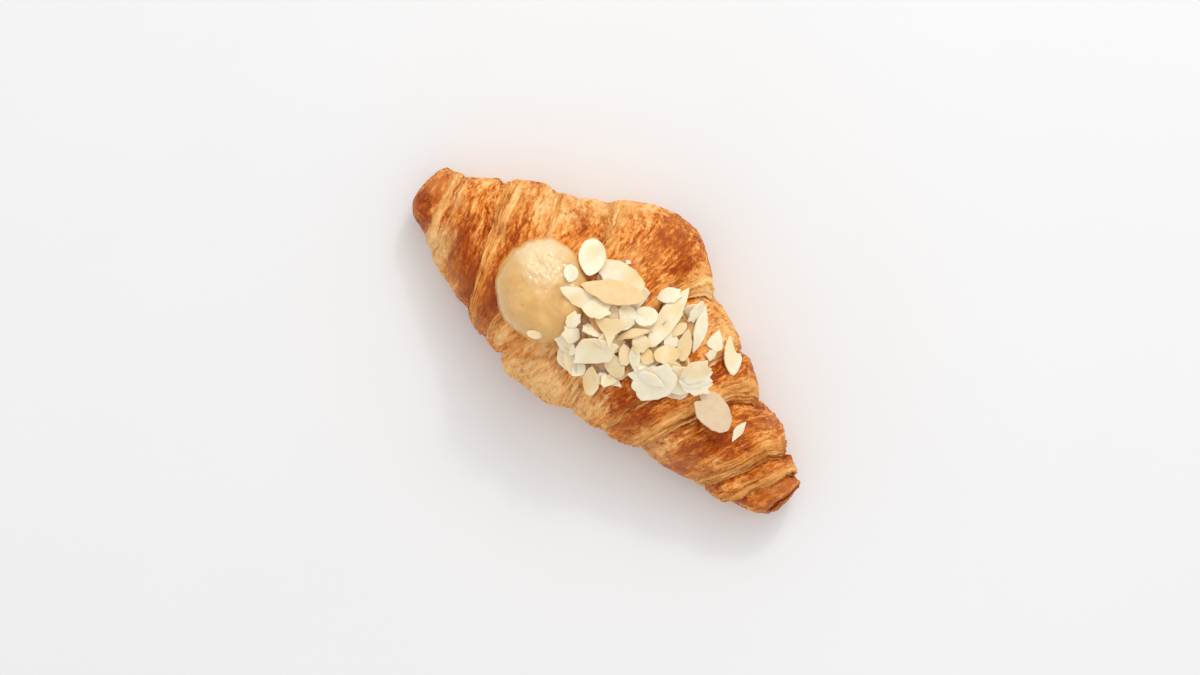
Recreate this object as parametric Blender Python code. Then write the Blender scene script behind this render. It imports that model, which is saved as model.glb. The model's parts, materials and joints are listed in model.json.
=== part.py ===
"""Almond croissant: a rolled, risen and baked triangle of layered dough, with a scoop of
almond cream and a heap of flaked almonds on top.

+X runs along the roll, +Z is up, and the flat baked base stands on z = 0, below the middle of
the whole thing's box. All the sizes below are in millimetres. The mesh is made in metres.
"""
import bpy
import bmesh
import math
import numpy as np
from itertools import combinations
from mathutils import Matrix, Vector, noise
from mathutils.bvhtree import BVHTree

MM = 0.001
GAP = 0.3                      # clear space between pieces that touch
SLIVER = 0.002                 # the finest edge worth keeping after a cut
SKY = 200.0                    # a height well above everything

# ---- the roll ----
TIP = 85.4                     # from the middle to either tip
# x, near edge, far edge and top of the smooth form that the turns of dough fill out
SECTIONS = (
    (-85, -20.0, 0.5, 20.0),
    (-75, -22.1, 3.8, 25.0),
    (-65, -27.6, 11.5, 30.5),
    (-54, -30.6, 18.8, 35.5),
    (-40, -36.0, 23.8, 40.5),
    (-28, -37.6, 32.6, 44.0),
    (-15, -38.8, 39.8, 47.0),
    (-2, -39.2, 40.4, 48.5),
    (10, -36.0, 34.6, 46.5),
    (25, -33.4, 25.8, 43.0),
    (40, -30.4, 20.4, 38.0),
    (55, -27.2, 11.6, 32.5),
    (65, -26.2, 8.6, 29.0),
    (75, -23.3, 2.4, 24.5),
    (85, -19.4, -1.6, 19.5),
)
# where a turn of dough ends on the next one: x at the far side, on top and at the near side,
# and how deep the step is
STEPS = (
    (-80.2, -76.6, -72.6, 1.3),
    (-75.4, -72.4, -67.8, 1.7),
    (-62.6, -56.0, -44.5, 3.8),
    (-47.0, -38.5, -33.5, 1.3),
    (-31.2, -21.5, -25.0, 2.8),
    (17.5, 2.5, 5.0, 3.6),
    (37.0, 28.0, 19.0, 2.6),
    (53.0, 41.5, 32.0, 3.9),
    (73.2, 66.5, 58.5, 2.8),
    (80.0, 74.8, 69.2, 2.4),
)
CENTRE_TURN = 5                # the outermost turn, which overlaps its neighbours both ways
WAIST = 0.43                   # height of the widest level, as a share of the top's height
FLOOR_CUT = 1.6                # how far the round form would sink below its flat base
TIP_LIFT = 2.6                 # how far the tips curl up off the base
TIP_LIFT_FROM, TIP_LIFT_OVER = 58.0, 27.0
UPPER_POWER, LOWER_POWER = 0.93, 0.70
CAP_POWER = 2 / 3              # blunt, rounded tips
ROW_STEP, TIP_ROWS, AROUND = 2.35, 7, 48     # how finely the crust is meshed
SLANT_ROWS = 1.35              # rows of a turn are closest together at its lip
RISE_END, LIP_START = 0.34, 0.58
LIP_LEAN = 0.35                # how far a lip leans towards the tip, for each mm of its depth
NEAR_RELIEF = 0.62             # the steps are softer on the near side
UNDER_RELIEF = 0.15            # and nearly flat underneath
UNEVEN, UNEVEN_SPAN = 1.3, 17.0      # how far the hand-rolled form swells and sinks
WANDER = 1.5                   # how far a step strays from its even line
TAIL_FROM, TAIL_TO = -26.0, 6.0      # the pale, puffed tail of the dough, on the near side
TAIL_ANGLE, TAIL_SPREAD, TAIL_RISE = 154.0, 13.0, 1.5
ROLL_MOUTH = 3.2               # depth of the open end of the roll, at the +X tip
MOUTH_EDGE = 0.62

# ---- the almond cream ----
CREAM_AT = (-28.6, -10.2)
CREAM_HALF = (17.8, 16.2)      # half of its length and width
CREAM_TURN = -54.0
CREAM_TOP = 57.5
CREAM_RIM = 1.8                # its widest level, over the crust just below
CREAM_KEEL = 5.0               # how far its underside reaches down before it is cut to fit
CREAM_SQUARE = 0.86
CREAM_FOLD = 1.3               # depth of the trough that the scoop left near the heap

# ---- the flaked almonds ----
FLAKE = 1.1                    # thickness
STEEPEST = 0.55                # the steepest slope at which a flake lies
BITE_IN = 0.35                 # how far one flake of the heap sits into the one below it
RIM_POINTS = 12
REST_POINTS = 20               # and the points of its outline that feel for what it rests on
REST_RINGS = (1.0, 0.7, 0.35)
BED_RELIEF = 0.35              # the heap's core fills most of the steps of the crust below it
# its ovals: middle, half length and width, turn, height over the crust
BED_PARTS = (
    ((2.5, -8.8), (17.5, 12.8), 20, 2.6),
    ((-7.0, -5.5), (9.0, 9.5), 20, 4.4),
    ((-9.0, 6.5), (10.0, 6.5), 20, 2.2),
    ((24.5, -5.0), (9.5, 7.5), 40, 1.6),
    ((16.5, 9.5), (12.5, 6.0), 110, 1.6),
)

# Outlines: how pointed the front and the back are, straight breaks (direction, share kept) and
# round bites (direction, distance of the bite's middle, its radius, as shares of half a length)
OUTLINES = {
    "whole": (1.0, 0.1, (), ()),
    "oval": (0.45, 0.0, (), ()),
    "round": (0.0, 0.0, (), ()),
    "lens": (1.0, 0.9, (), ()),
    "half": (0.9, 0.0, ((180, 0.45),), ()),
    "chip": (0.3, 0.3, ((150, 0.6), (-100, 0.55)), ()),
    "shard": (1.0, 1.0, ((-90, 0.12),), ()),
    "fan": (1.0, 0.0, ((35, 0.62), (-40, 0.6)), ()),
    "broken": (0.2, 0.0, ((170, 0.8), (15, 0.85)), ((-95, 1.25, 0.75),)),
    "star": (1.0, 0.5, ((60, 0.5), (-70, 0.42)), ((150, 1.15, 0.5),)),
    "bitten": (0.9, 0.7, (), ((-75, 0.62, 0.34),)),
    "notched": (0.0, 0.0, (), ((165, 1.12, 0.36),)),
}
# the heap, lowest flakes first: x, y, length, width, heading of the pointed end, outline
HEAP = (
    (-14.0, -11.0, 6.0, 5.0, -80, "chip"),
    (-10.5, -19.0, 9.0, 5.0, 0, "oval"),
    (-7.8, -23.4, 7.4, 3.6, 150, "lens"),
    (-5.6, -22.4, 9.8, 3.2, 145, "lens"),
    (-1.5, -23.0, 5.0, 3.6, 70, "chip"),
    (6.2, -20.2, 5.0, 4.4, 40, "chip"),
    (9.2, -18.4, 5.0, 3.4, 220, "fan"),
    (6.4, -13.4, 8.6, 6.6, 150, "whole"),
    (12.7, -7.7, 4.8, 4.2, 40, "chip"),
    (14.0, -4.8, 7.0, 3.8, 140, "lens"),
    (16.5, 4.6, 6.0, 4.4, 140, "oval"),
    (15.8, 9.6, 5.2, 3.0, 80, "chip"),
    (14.2, 17.3, 7.5, 3.0, 80, "half"),
    (16.2, 18.0, 7.5, 3.2, 105, "half"),
    (4.5, 2.5, 10.0, 7.0, 210, "oval"),
    (-4.0, -3.0, 11.0, 8.0, 120, "oval"),
    (0.5, -9.0, 11.0, 8.0, 30, "oval"),
    (3.3, -23.3, 10.0, 7.2, 95, "whole"),
    (-2.2, 1.9, 9.0, 5.5, 30, "half"),
    (21.0, 14.6, 17.0, 4.6, 120, "lens"),
    (20.6, 7.2, 10.5, 4.4, 120, "whole"),
    (8.0, -9.5, 9.8, 4.2, 145, "lens"),
    (10.2, -7.2, 9.0, 3.2, 140, "lens"),
    (18.4, 0.8, 9.8, 5.8, 52, "oval"),
    (21.5, -3.3, 9.2, 5.2, 60, "half"),
    (26.6, -3.6, 14.5, 10.8, 50, "broken"),
    (22.8, -11.2, 13.8, 9.6, 235, "broken"),
    (18.9, -7.8, 8.2, 3.8, 25, "lens"),
    (32.0, 0.5, 12.5, 7.6, 20, "fan"),
    (30.6, 1.8, 12.0, 7.6, 45, "fan"),
    (29.0, 3.2, 12.0, 7.4, 66, "whole"),
    (9.4, -2.9, 7.4, 6.4, 160, "whole"),
    (4.9, -1.8, 10.4, 3.0, 62, "lens"),
    (-11.5, -15.4, 7.2, 6.2, 20, "round"),
    (-7.4, -10.2, 9.8, 3.2, 5, "half"),
    (-1.6, -14.0, 14.4, 10.4, 32, "broken"),
    (10.5, 11.0, 25.5, 7.6, 101, "whole"),
    (5.9, 16.9, 8.0, 5.0, 235, "half"),
    (-0.6, -0.9, 8.6, 4.2, 25, "whole"),
    (-3.3, -7.9, 12.0, 8.0, -15, "star"),
    (-12.4, 10.4, 22.5, 9.8, 181, "whole"),
    (-17.4, -4.0, 15.4, 6.0, 200, "whole"),
    (-9.8, -2.8, 9.2, 7.6, 220, "oval"),
    (-9.9, 4.6, 21.6, 9.2, 208, "whole"),
    (4.3, 5.7, 8.3, 8.0, 40, "round"),
)
# flakes that lie by themselves: node, then the same values
LOOSE = (
    ("almond_on_cream_edge", -22.9, 9.2, 13.6, 9.6, -65, "oval"),
    ("almond_chip_on_cream", -24.8, 0.2, 6.2, 5.6, -60, "oval"),
    ("almond_round_lone", 42.3, -3.7, 14.6, 12.4, -4, "notched"),
    ("almond_shard_lone", 54.5, -3.3, 8.0, 4.2, 95, "shard"),
    ("almond_bitten", 35.6, 14.9, 14.0, 6.6, 135, "bitten"),
    ("almond_fan", 27.4, 16.0, 6.8, 6.4, -40, "fan"),
    ("almond_chip", 29.8, 10.4, 5.4, 4.0, 60, "chip"),
)

COLOURS = {
    "croissant": ((0.56, 0.22, 0.07), 0.45),
    "almond_cream": ((0.82, 0.55, 0.26), 0.32),
    "almonds": ((0.88, 0.78, 0.58), 0.5),
}


def ease(low, high, value):
    """0 below low, 1 above high, and a smooth rise between."""
    share = min(max((value - low) / (high - low), 0.0), 1.0)
    return share * share * (3 - 2 * share)


def section(x):
    """The near edge, far edge and top of the smooth form at x, by a curve through SECTIONS."""
    last = len(SECTIONS) - 1
    x = min(max(x, SECTIONS[0][0]), SECTIONS[last][0])
    i = max(k for k in range(last) if SECTIONS[k][0] <= x)
    before, start, end, after = (SECTIONS[min(max(i + k, 0), last)] for k in (-1, 0, 1, 2))
    span = end[0] - start[0]
    t = (x - start[0]) / span
    values = []
    for k in (1, 2, 3):
        slope_in = (end[k] - before[k]) / (end[0] - before[0]) * span
        slope_out = (after[k] - start[k]) / (after[0] - start[0]) * span
        values.append((2 * t**3 - 3 * t**2 + 1) * start[k] + (t**3 - 2 * t**2 + t) * slope_in
                      + (3 * t**2 - 2 * t**3) * end[k] + (t**3 - t**2) * slope_out)
    return values


def edge_x(number, across, up):
    """x of edge number 0 to 11, where across is 1 at the far side, 0 on top and -1 near."""
    if number in (0, len(STEPS) + 1):
        return -TIP if number == 0 else TIP
    far, top, near = STEPS[number - 1][:3]
    even = top + (far - near) / 2 * across + ((far + near) / 2 - top) * across * across
    return even + WANDER * noise.noise(Vector((number * 3.7, 1.6 * across, 1.6 * up)))


def edge_depth(number):
    return 0.0 if number in (0, len(STEPS) + 1) else STEPS[number - 1][3]


def turn_profile(turn, share):
    """Depth below the smooth form, and lean towards a tip, at a share of a turn's width."""
    inner, outer = (turn + 1, turn) if turn < CENTRE_TURN else (turn, turn + 1)
    out = 1 - share if turn < CENTRE_TURN else share
    towards = -1 if turn < CENTRE_TURN else 1
    if turn == CENTRE_TURN:
        towards = -1 if share < 0.5 else 1
        inner, outer = None, (turn if share < 0.5 else turn + 1)
        out = abs(2 * share - 1)
    lip = max(out - LIP_START, 0) / (1 - LIP_START)
    depth = edge_depth(outer) * lip**1.8
    lean = towards * LIP_LEAN * edge_depth(outer) * math.sin(math.pi * lip**2)
    if inner is not None:
        depth += edge_depth(inner) * (1 - ease(0, RISE_END, out))
    return depth, lean


def skin_point(turn, share, angle, grow, relief):
    """A point of the crust: angle is 0 at the far side, 90 on top and 180 at the near side.

    The skin can be grown outwards, and relief scales the steps between the turns.
    """
    across, up = math.cos(angle), math.sin(angle)
    start, end = edge_x(turn, across, up), edge_x(turn + 1, across, up)
    fill = 1.0
    last = len(STEPS)
    if turn in (0, last):
        out = (1 - share if turn == 0 else share) * math.pi / 2
        fill = max(math.cos(out), 0.0) ** CAP_POWER
        reach = math.sin(out) ** CAP_POWER
        x = end + (start - end) * reach if turn == 0 else start + (end - start) * reach
        if turn == last:
            x -= ROLL_MOUTH * (1 - ease(0, MOUTH_EDGE, fill))
    else:
        x = start + (end - start) * share
    near, far, top = section(x)
    depth, lean = turn_profile(turn, share)
    soft = (UNDER_RELIEF + (1 - UNDER_RELIEF) * ease(-0.6, 0.3, up))
    soft *= NEAR_RELIEF + (1 - NEAR_RELIEF) * ease(-1.0, 0.2, across)
    depth = depth * soft * relief - grow
    depth -= UNEVEN * noise.noise(Vector((x / UNEVEN_SPAN, 1.7 * across, 1.7 * up)))
    off_tail = (math.degrees(angle) - TAIL_ANGLE) / TAIL_SPREAD
    along_tail = ease(TAIL_FROM, TAIL_FROM + 8, x) - ease(TAIL_TO - 5, TAIL_TO, x)
    depth -= TAIL_RISE * along_tail * math.exp(-off_tail**2)
    waist = WAIST * top
    power = UPPER_POWER if up >= 0 else LOWER_POWER
    height = (top - waist if up >= 0 else waist + FLOOR_CUT) - depth
    width = (far - near) / 2 - depth
    y = (near + far) / 2 + math.copysign(abs(across) ** power, across) * width * fill
    z = waist + math.copysign(abs(up) ** power, up) * height * fill
    z += TIP_LIFT * ease(TIP_LIFT_FROM, TIP_LIFT_FROM + TIP_LIFT_OVER, abs(x))
    return Vector((x + lean * soft * relief, y, max(z, 0.0))) * MM


def turn_rows(turn):
    """The shares of a turn's width at which it has a row, closest together at its lip."""
    width = edge_x(turn + 1, 0, 1) - edge_x(turn, 0, 1)
    count = TIP_ROWS if turn in (0, len(STEPS)) else max(round(width / ROW_STEP), 3)
    steps = [k / count for k in range(count)]
    if turn == CENTRE_TURN:
        return [0.5 - 0.5 * math.cos(math.pi * (0.12 + 0.88 * s)) if s else 0.0 for s in steps]
    if turn < CENTRE_TURN:
        return [s**SLANT_ROWS for s in steps]
    return [1 - (1 - s) ** SLANT_ROWS for s in steps]


def new_collection(name):
    collection = bpy.data.collections.new(name)
    bpy.context.scene.collection.children.link(collection)
    return collection


def remove_collection(collection):
    for obj in list(collection.objects):
        bpy.data.objects.remove(obj)
    bpy.data.collections.remove(collection)


def new_object(name, bm, collection, smooth_angle=35):
    mesh = bpy.data.meshes.new(name)
    bmesh.ops.recalc_face_normals(bm, faces=bm.faces)
    bm.to_mesh(mesh)
    bm.free()
    mesh.shade_smooth()
    mesh.set_sharp_from_angle(angle=math.radians(smooth_angle))
    obj = bpy.data.objects.new(name, mesh)
    collection.objects.link(obj)
    return obj


def make_roll(name, collection, grow=0.0, relief=1.0):
    """The crust is lofted ring by ring, and each ring follows the slant of its turn."""
    bm = bmesh.new()
    last = len(STEPS)
    rows = [(turn, share) for turn in range(last + 1) for share in turn_rows(turn)]
    rings = []
    for turn, share in rows[1:]:
        angles = (2 * math.pi * k / AROUND for k in range(AROUND))
        places = (skin_point(turn, share, angle, grow, relief) for angle in angles)
        rings.append([bm.verts.new(place) for place in places])
    for ring, following in zip(rings, rings[1:]):
        for k in range(AROUND):
            n = (k + 1) % AROUND
            bm.faces.new((ring[k], following[k], following[n], ring[n]))
    for ring, pole in ((rings[0], (0, 0.0)), (rings[-1], (last, 1.0))):
        tip = bm.verts.new(skin_point(*pole, math.pi / 2, grow, relief))
        for k in range(AROUND):
            bm.faces.new((ring[k], ring[(k + 1) % AROUND], tip))
    bmesh.ops.dissolve_degenerate(bm, edges=bm.edges, dist=SLIVER * MM)
    bmesh.ops.triangulate(bm, faces=bm.faces)
    return new_object(name, bm, collection)


def grown_copy(obj, distance, collection):
    """A cutter: the object's own form, larger all round, that keeps the next piece clear."""
    cutter = obj.copy()
    cutter.data = obj.data.copy()
    cutter.name = obj.name + "_clearance"
    normals = [v.normal.copy() for v in cutter.data.vertices]
    for vertex, normal in zip(cutter.data.vertices, normals):
        vertex.co += normal * distance * MM
    collection.objects.link(cutter)
    cutter.hide_render = True
    cutter.display_type = "WIRE"
    return cutter


def apply_boolean(obj, operation, cutter=None, group=None, solver="EXACT"):
    modifier = obj.modifiers.new(operation.lower(), "BOOLEAN")
    modifier.operation = operation
    modifier.solver = solver
    if group:
        modifier.operand_type = "COLLECTION"
        modifier.collection = group
    else:
        modifier.object = cutter
    depsgraph = bpy.context.evaluated_depsgraph_get()
    mesh = bpy.data.meshes.new_from_object(obj.evaluated_get(depsgraph))
    obj.modifiers.clear()
    obj.data = mesh


def keep_largest(obj):
    """Drops the loose scraps and merges the slivers that a cut leaves."""
    bm = bmesh.new()
    bm.from_mesh(obj.data)
    bmesh.ops.remove_doubles(bm, verts=bm.verts, dist=SLIVER * MM)
    bmesh.ops.dissolve_degenerate(bm, edges=bm.edges, dist=SLIVER * MM)
    islands, seen = [], set()
    for vertex in bm.verts:
        if vertex in seen:
            continue
        island, queue = set(), [vertex]
        while queue:
            current = queue.pop()
            if current in island:
                continue
            island.add(current)
            queue += [edge.other_vert(current) for edge in current.link_edges]
        seen |= island
        islands.append(island)
    islands.sort(key=len)
    print(f"{obj.name}: {len(islands) - 1} loose scraps dropped")
    scraps = [v for island in islands[:-1] for v in island]
    bmesh.ops.delete(bm, geom=scraps, context="VERTS")
    bmesh.ops.triangulate(bm, faces=bm.faces)
    bm.to_mesh(obj.data)
    bm.free()
    obj.data.shade_smooth()
    obj.data.set_sharp_from_angle(angle=math.radians(35))


def height_of(tree, x, y):
    """The height of a surface at x and y, seen from above."""
    hit = tree.ray_cast(Vector((x * MM, y * MM, SKY * MM)), Vector((0, 0, -1)))[0]
    return hit.z / MM if hit else None


def make_cream(collection, crust, crust_cutter):
    """One scoop: a ball pressed into a low dome that has settled on the crust.

    Its rim follows the crust's slope, and its underside is cut to the crust.
    """
    ground = tree_of(crust)
    bm = bmesh.new()
    bmesh.ops.create_uvsphere(bm, u_segments=32, v_segments=20, radius=1.0)
    turn = Matrix.Rotation(math.radians(CREAM_TURN), 3, "Z")
    for vertex in bm.verts:
        along, aside, up = vertex.co
        bearing = math.atan2(aside, along)
        flat = math.hypot(along, aside)
        swell = 1 + 0.02 * math.sin(2 * bearing + 0.6) + 0.015 * math.sin(3 * bearing)
        spread = flat**CREAM_SQUARE / flat if flat > 1e-6 else 1.0
        place = turn @ Vector((along * CREAM_HALF[0], aside * CREAM_HALF[1], 0)) * spread * swell
        x, y = CREAM_AT[0] + place.x, CREAM_AT[1] + place.y
        rim = height_of(ground, x, y) + CREAM_RIM
        fold = math.exp(-((along - 0.15) ** 2) / 0.35 - ((aside - 0.62) ** 2) / 0.03)
        rise = (CREAM_TOP - rim) * up - CREAM_FOLD * fold * up if up > 0 else CREAM_KEEL * up
        vertex.co = Vector((x, y, rim + rise)) * MM
    cream = new_object("almond_cream", bm, collection)
    apply_boolean(cream, "DIFFERENCE", crust_cutter)
    keep_largest(cream)
    return cream


def rim_radius(bearing, length, width, outline):
    """The flake's outline as a distance from its middle, in the direction bearing."""
    front, back, breaks, bites = OUTLINES[outline]
    c, s = abs(math.cos(bearing)), abs(math.sin(bearing))
    sharp = front if math.cos(bearing) > 0 else back
    power = 2 - 0.6 * sharp * ease(0.0, 0.9, c)
    radius = ((c / (length / 2)) ** power + (s / (width / 2)) ** power) ** (-1 / power)
    for direction, share in breaks:
        facing = math.cos(bearing - math.radians(direction))
        reach = share * (length / 2 * abs(math.cos(math.radians(direction)))
                         + width / 2 * abs(math.sin(math.radians(direction))))
        if facing > 0.05:
            radius = min(radius, reach / facing)
    for direction, distance, size in bites:
        off = bearing - math.radians(direction)
        beside = distance * math.sin(off)
        if math.cos(off) > 0 and abs(beside) < size:
            near = distance * math.cos(off) - math.sqrt(size**2 - beside**2)
            radius = min(radius, max(near, 0.2) * length / 2)
    return radius


def flake_rim(x, y, length, width, heading, outline, points):
    """The outline seen from above."""
    rim = []
    for k in range(points):
        bearing = 2 * math.pi * k / points
        radius = rim_radius(bearing, length, width, outline)
        direction = bearing + math.radians(heading)
        rim.append((x + radius * math.cos(direction), y + radius * math.sin(direction)))
    return rim


def rest_plane(x, y, rim, supports, clear_of_all):
    """The plane of a thin flake that has settled: it touches three points around its middle.

    Each support is a search tree and the clear space to keep over it. Of all the triangles of
    touching points that hold the middle up, the highest one carries the flake. A flake that
    would lie too steeply is tipped back, into its neighbours unless it has to clear them all.
    """
    samples = [(x, y)]
    for share in REST_RINGS:
        samples += [(x + share * (px - x), y + share * (py - y)) for px, py in rim]
    points = []
    for px, py in samples:
        tops = [(height_of(tree, px, py), clear) for tree, clear in supports]
        heights = [top + clear for top, clear in tops if top is not None]
        if heights:
            points.append((px, py, max(heights)))
    a, b, c = (np.array(corner) for corner in zip(*combinations(points, 3)))
    ab, ac, out = b - a, c - a, np.array((x, y)) - a[:, :2]
    area = ab[:, 0] * ac[:, 1] - ac[:, 0] * ab[:, 1]
    area[np.abs(area) < 0.5] = np.nan
    u = (out[:, 0] * ac[:, 1] - ac[:, 0] * out[:, 1]) / area
    v = (ab[:, 0] * out[:, 1] - out[:, 0] * ab[:, 1]) / area
    height = np.where((u >= 0) & (v >= 0) & (u + v <= 1), a[:, 2] + u * ab[:, 2] + v * ac[:, 2],
                      -np.inf)
    best = int(np.argmax(height))
    slope_x = (ab[best, 2] * ac[best, 1] - ac[best, 2] * ab[best, 1]) / area[best]
    slope_y = (ac[best, 2] * ab[best, 0] - ab[best, 2] * ac[best, 0]) / area[best]
    ease_off = min(1.0, STEEPEST / max(math.hypot(slope_x, slope_y), 1e-6))
    slope_x, slope_y = slope_x * ease_off, slope_y * ease_off
    over_all = max(pz - slope_x * (px - x) - slope_y * (py - y) for px, py, pz in points)
    return (over_all if clear_of_all else height[best]), slope_x, slope_y


def make_flake(name, values, supports, collection, clear_of_all=False):
    """One slice of almond, laid down on whatever is below it."""
    x, y, length, width, heading, outline = values
    rim = flake_rim(x, y, length, width, heading, outline, RIM_POINTS)
    feelers = flake_rim(x, y, length, width, heading, outline, REST_POINTS)
    height, slope_x, slope_y = rest_plane(x, y, feelers, supports, clear_of_all)
    normal = Vector((-slope_x, -slope_y, 1)).normalized()
    bm = bmesh.new()
    lower = []
    for px, py in rim:
        z = height + slope_x * (px - x) + slope_y * (py - y)
        lower.append(bm.verts.new(Vector((px, py, z)) * MM))
    face = bm.faces.new(lower)
    upper = bmesh.ops.extrude_face_region(bm, geom=[face])["geom"]
    for vertex in (v for v in upper if isinstance(v, bmesh.types.BMVert)):
        vertex.co += normal * FLAKE * MM
    for end in [f for f in bm.faces if len(f.verts) > 4]:
        bmesh.ops.poke(bm, faces=[end])
    bmesh.ops.triangulate(bm, faces=bm.faces)
    return new_object(name, bm, collection)


def tree_of(obj):
    bm = bmesh.new()
    bm.from_mesh(obj.data)
    tree = BVHTree.FromBMesh(bm)
    bm.free()
    return tree


def make_bed(cutters, collection):
    """The heap's core: low mounds that follow the crust, below the flakes that show."""
    columns = new_collection("bed_columns")
    mounds = new_collection("bed_mounds")
    for (x, y), (half_x, half_y), turn, height in BED_PARTS:
        bm = bmesh.new()
        bmesh.ops.create_cone(bm, cap_ends=True, segments=20, radius1=1, radius2=1, depth=2)
        place = Matrix.Translation(Vector((x, y, SKY / 2)) * MM)
        place @= Matrix.Rotation(math.radians(turn), 4, "Z")
        place @= Matrix.Diagonal((half_x * MM, half_y * MM, SKY / 3 * MM, 1))
        bm.transform(place)
        column = new_object("bed_column", bm, columns)
        mound = make_roll("almond_heap", mounds, height, BED_RELIEF)
        apply_boolean(mound, "INTERSECT", column, solver="MANIFOLD")
    bed = mounds.objects[0]
    mounds.objects.unlink(bed)
    collection.objects.link(bed)
    apply_boolean(bed, "UNION", group=mounds, solver="MANIFOLD")
    remove_collection(columns)
    remove_collection(mounds)
    for cutter in cutters:
        apply_boolean(bed, "DIFFERENCE", cutter, solver="MANIFOLD")
    keep_largest(bed)
    bed.name = "almond_heap"
    return bed


def make_heap(crust, cream, cutters, collection):
    """Flakes are laid one after another, each on those below, then fused with the core."""
    bed = make_bed(cutters, collection)
    supports = [(tree_of(crust), GAP), (tree_of(cream), GAP), (tree_of(bed), -BITE_IN)]
    flakes = new_collection("flakes")
    for number, values in enumerate(HEAP):
        flake = make_flake(f"flake_{number}", values, supports, flakes)
        supports.append((tree_of(flake), -BITE_IN))
    apply_boolean(bed, "UNION", group=flakes, solver="MANIFOLD")
    remove_collection(flakes)
    for cutter in cutters:
        apply_boolean(bed, "DIFFERENCE", cutter, solver="MANIFOLD")
    keep_largest(bed)
    return bed


def paint(objects, name):
    colour, roughness = COLOURS[name]
    material = bpy.data.materials.new(name)
    material.use_nodes = True
    shader = material.node_tree.nodes["Principled BSDF"]
    shader.inputs["Base Color"].default_value = (*colour, 1)
    shader.inputs["Roughness"].default_value = roughness
    shader.inputs["Metallic"].default_value = 0.0
    for obj in objects:
        obj.data.materials.clear()
        obj.data.materials.append(material)


def main():
    for leftover in list(bpy.data.objects):
        bpy.data.objects.remove(leftover)
    pastry = new_collection("almond_croissant")
    tools = new_collection("cutters")
    crust = make_roll("croissant", pastry)
    crust_cutter = grown_copy(crust, GAP, tools)
    cream = make_cream(pastry, crust, crust_cutter)
    cream_cutter = grown_copy(cream, GAP, tools)
    heap = make_heap(crust, cream, (crust_cutter, cream_cutter), pastry)

    supports = [(tree_of(obj), GAP) for obj in (crust, cream, heap)]
    loose = []
    for name, *values in LOOSE:
        flake = make_flake(name, values, supports, pastry, clear_of_all=True)
        supports.append((tree_of(flake), GAP))
        loose.append(flake)

    paint([crust], "croissant")
    paint([cream], "almond_cream")
    paint([heap, *loose], "almonds")


main()
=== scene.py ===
# %% [markdown]
# # An almond croissant
# The croissant is a long triangle of layered dough, rolled up from its wide end, so that each turn
# lies over its neighbour and ends in a lip. A scoop of almond cream and a heap of flaked almonds
# lie on it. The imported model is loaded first, as the frame that every piece is built around.

# %% Load the frame
import json
import math
from itertools import combinations

import bpy
import numpy as np
from mathutils import Matrix, Vector, noise
from mathutils.bvhtree import BVHTree

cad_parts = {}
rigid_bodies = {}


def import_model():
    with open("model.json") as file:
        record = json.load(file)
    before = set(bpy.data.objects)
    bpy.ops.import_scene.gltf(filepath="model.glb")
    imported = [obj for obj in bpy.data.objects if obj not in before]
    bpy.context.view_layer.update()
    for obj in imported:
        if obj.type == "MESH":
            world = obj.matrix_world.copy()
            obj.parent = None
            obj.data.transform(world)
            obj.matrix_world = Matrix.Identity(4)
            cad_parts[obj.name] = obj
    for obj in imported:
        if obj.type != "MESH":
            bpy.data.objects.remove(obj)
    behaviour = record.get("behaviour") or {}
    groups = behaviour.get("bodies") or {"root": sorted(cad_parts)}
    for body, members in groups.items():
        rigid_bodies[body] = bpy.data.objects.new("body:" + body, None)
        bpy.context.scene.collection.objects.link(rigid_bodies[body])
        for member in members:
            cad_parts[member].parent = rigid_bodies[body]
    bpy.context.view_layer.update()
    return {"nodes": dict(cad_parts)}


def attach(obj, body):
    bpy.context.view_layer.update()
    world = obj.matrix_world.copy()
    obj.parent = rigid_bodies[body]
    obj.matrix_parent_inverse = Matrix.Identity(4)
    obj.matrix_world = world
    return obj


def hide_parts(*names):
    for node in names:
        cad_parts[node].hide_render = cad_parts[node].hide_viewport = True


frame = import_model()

MM = 0.001


def add_object(name, data):
    obj = bpy.data.objects.new(name, data)
    bpy.context.scene.collection.objects.link(obj)
    return obj


print("nodes:", ", ".join(sorted(frame["nodes"])))

# %% [markdown]
# ## Camera, floor and light
# The photograph looks straight down, with the roll turned 40 degrees on the picture. The camera
# stands a metre above the middle, and its lens takes in 420 mm at the height of the crust. The
# light is a large soft window beyond the far side, a small lamp beside it that draws the wet
# highlights, a wide pale ceiling, and a pale surrounding, as in a light tent.

# %% Camera
# places and widths in metres, the sensor in mm
PICTURE_TURN = math.radians(40.5)
CAMERA_AT = Vector((-0.003, -0.0097, 1.0))
SENSOR = 36.0
PICTURE_WIDTH = 0.42
CRUST_LEVEL = 0.022

camera_data = bpy.data.cameras.new("camera")
camera_data.sensor_width = SENSOR
camera_data.lens = SENSOR * (CAMERA_AT.z - CRUST_LEVEL) / PICTURE_WIDTH
camera = add_object("camera", camera_data)
camera.matrix_world = Matrix.Translation(CAMERA_AT) @ Matrix.Rotation(PICTURE_TURN, 4, "Z")
bpy.context.scene.camera = camera
print(f"lens {camera_data.lens:.1f} mm")

# %% Light
def picture_direction(right, up, towards):
    """A direction given as seen in the picture: to its right, to its top and out of it."""
    return Matrix.Rotation(PICTURE_TURN, 3, "Z") @ Vector((right, up, towards))


def add_panel(name, direction, distance, size, power, colour):
    light = bpy.data.lights.new(name, "AREA")
    light.shape, light.size, light.energy, light.color = "DISK", size, power, colour
    panel = add_object(name, light)
    direction = direction.normalized()
    panel.location = direction * distance
    panel.rotation_euler = direction.to_track_quat("Z", "Y").to_euler()


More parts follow.
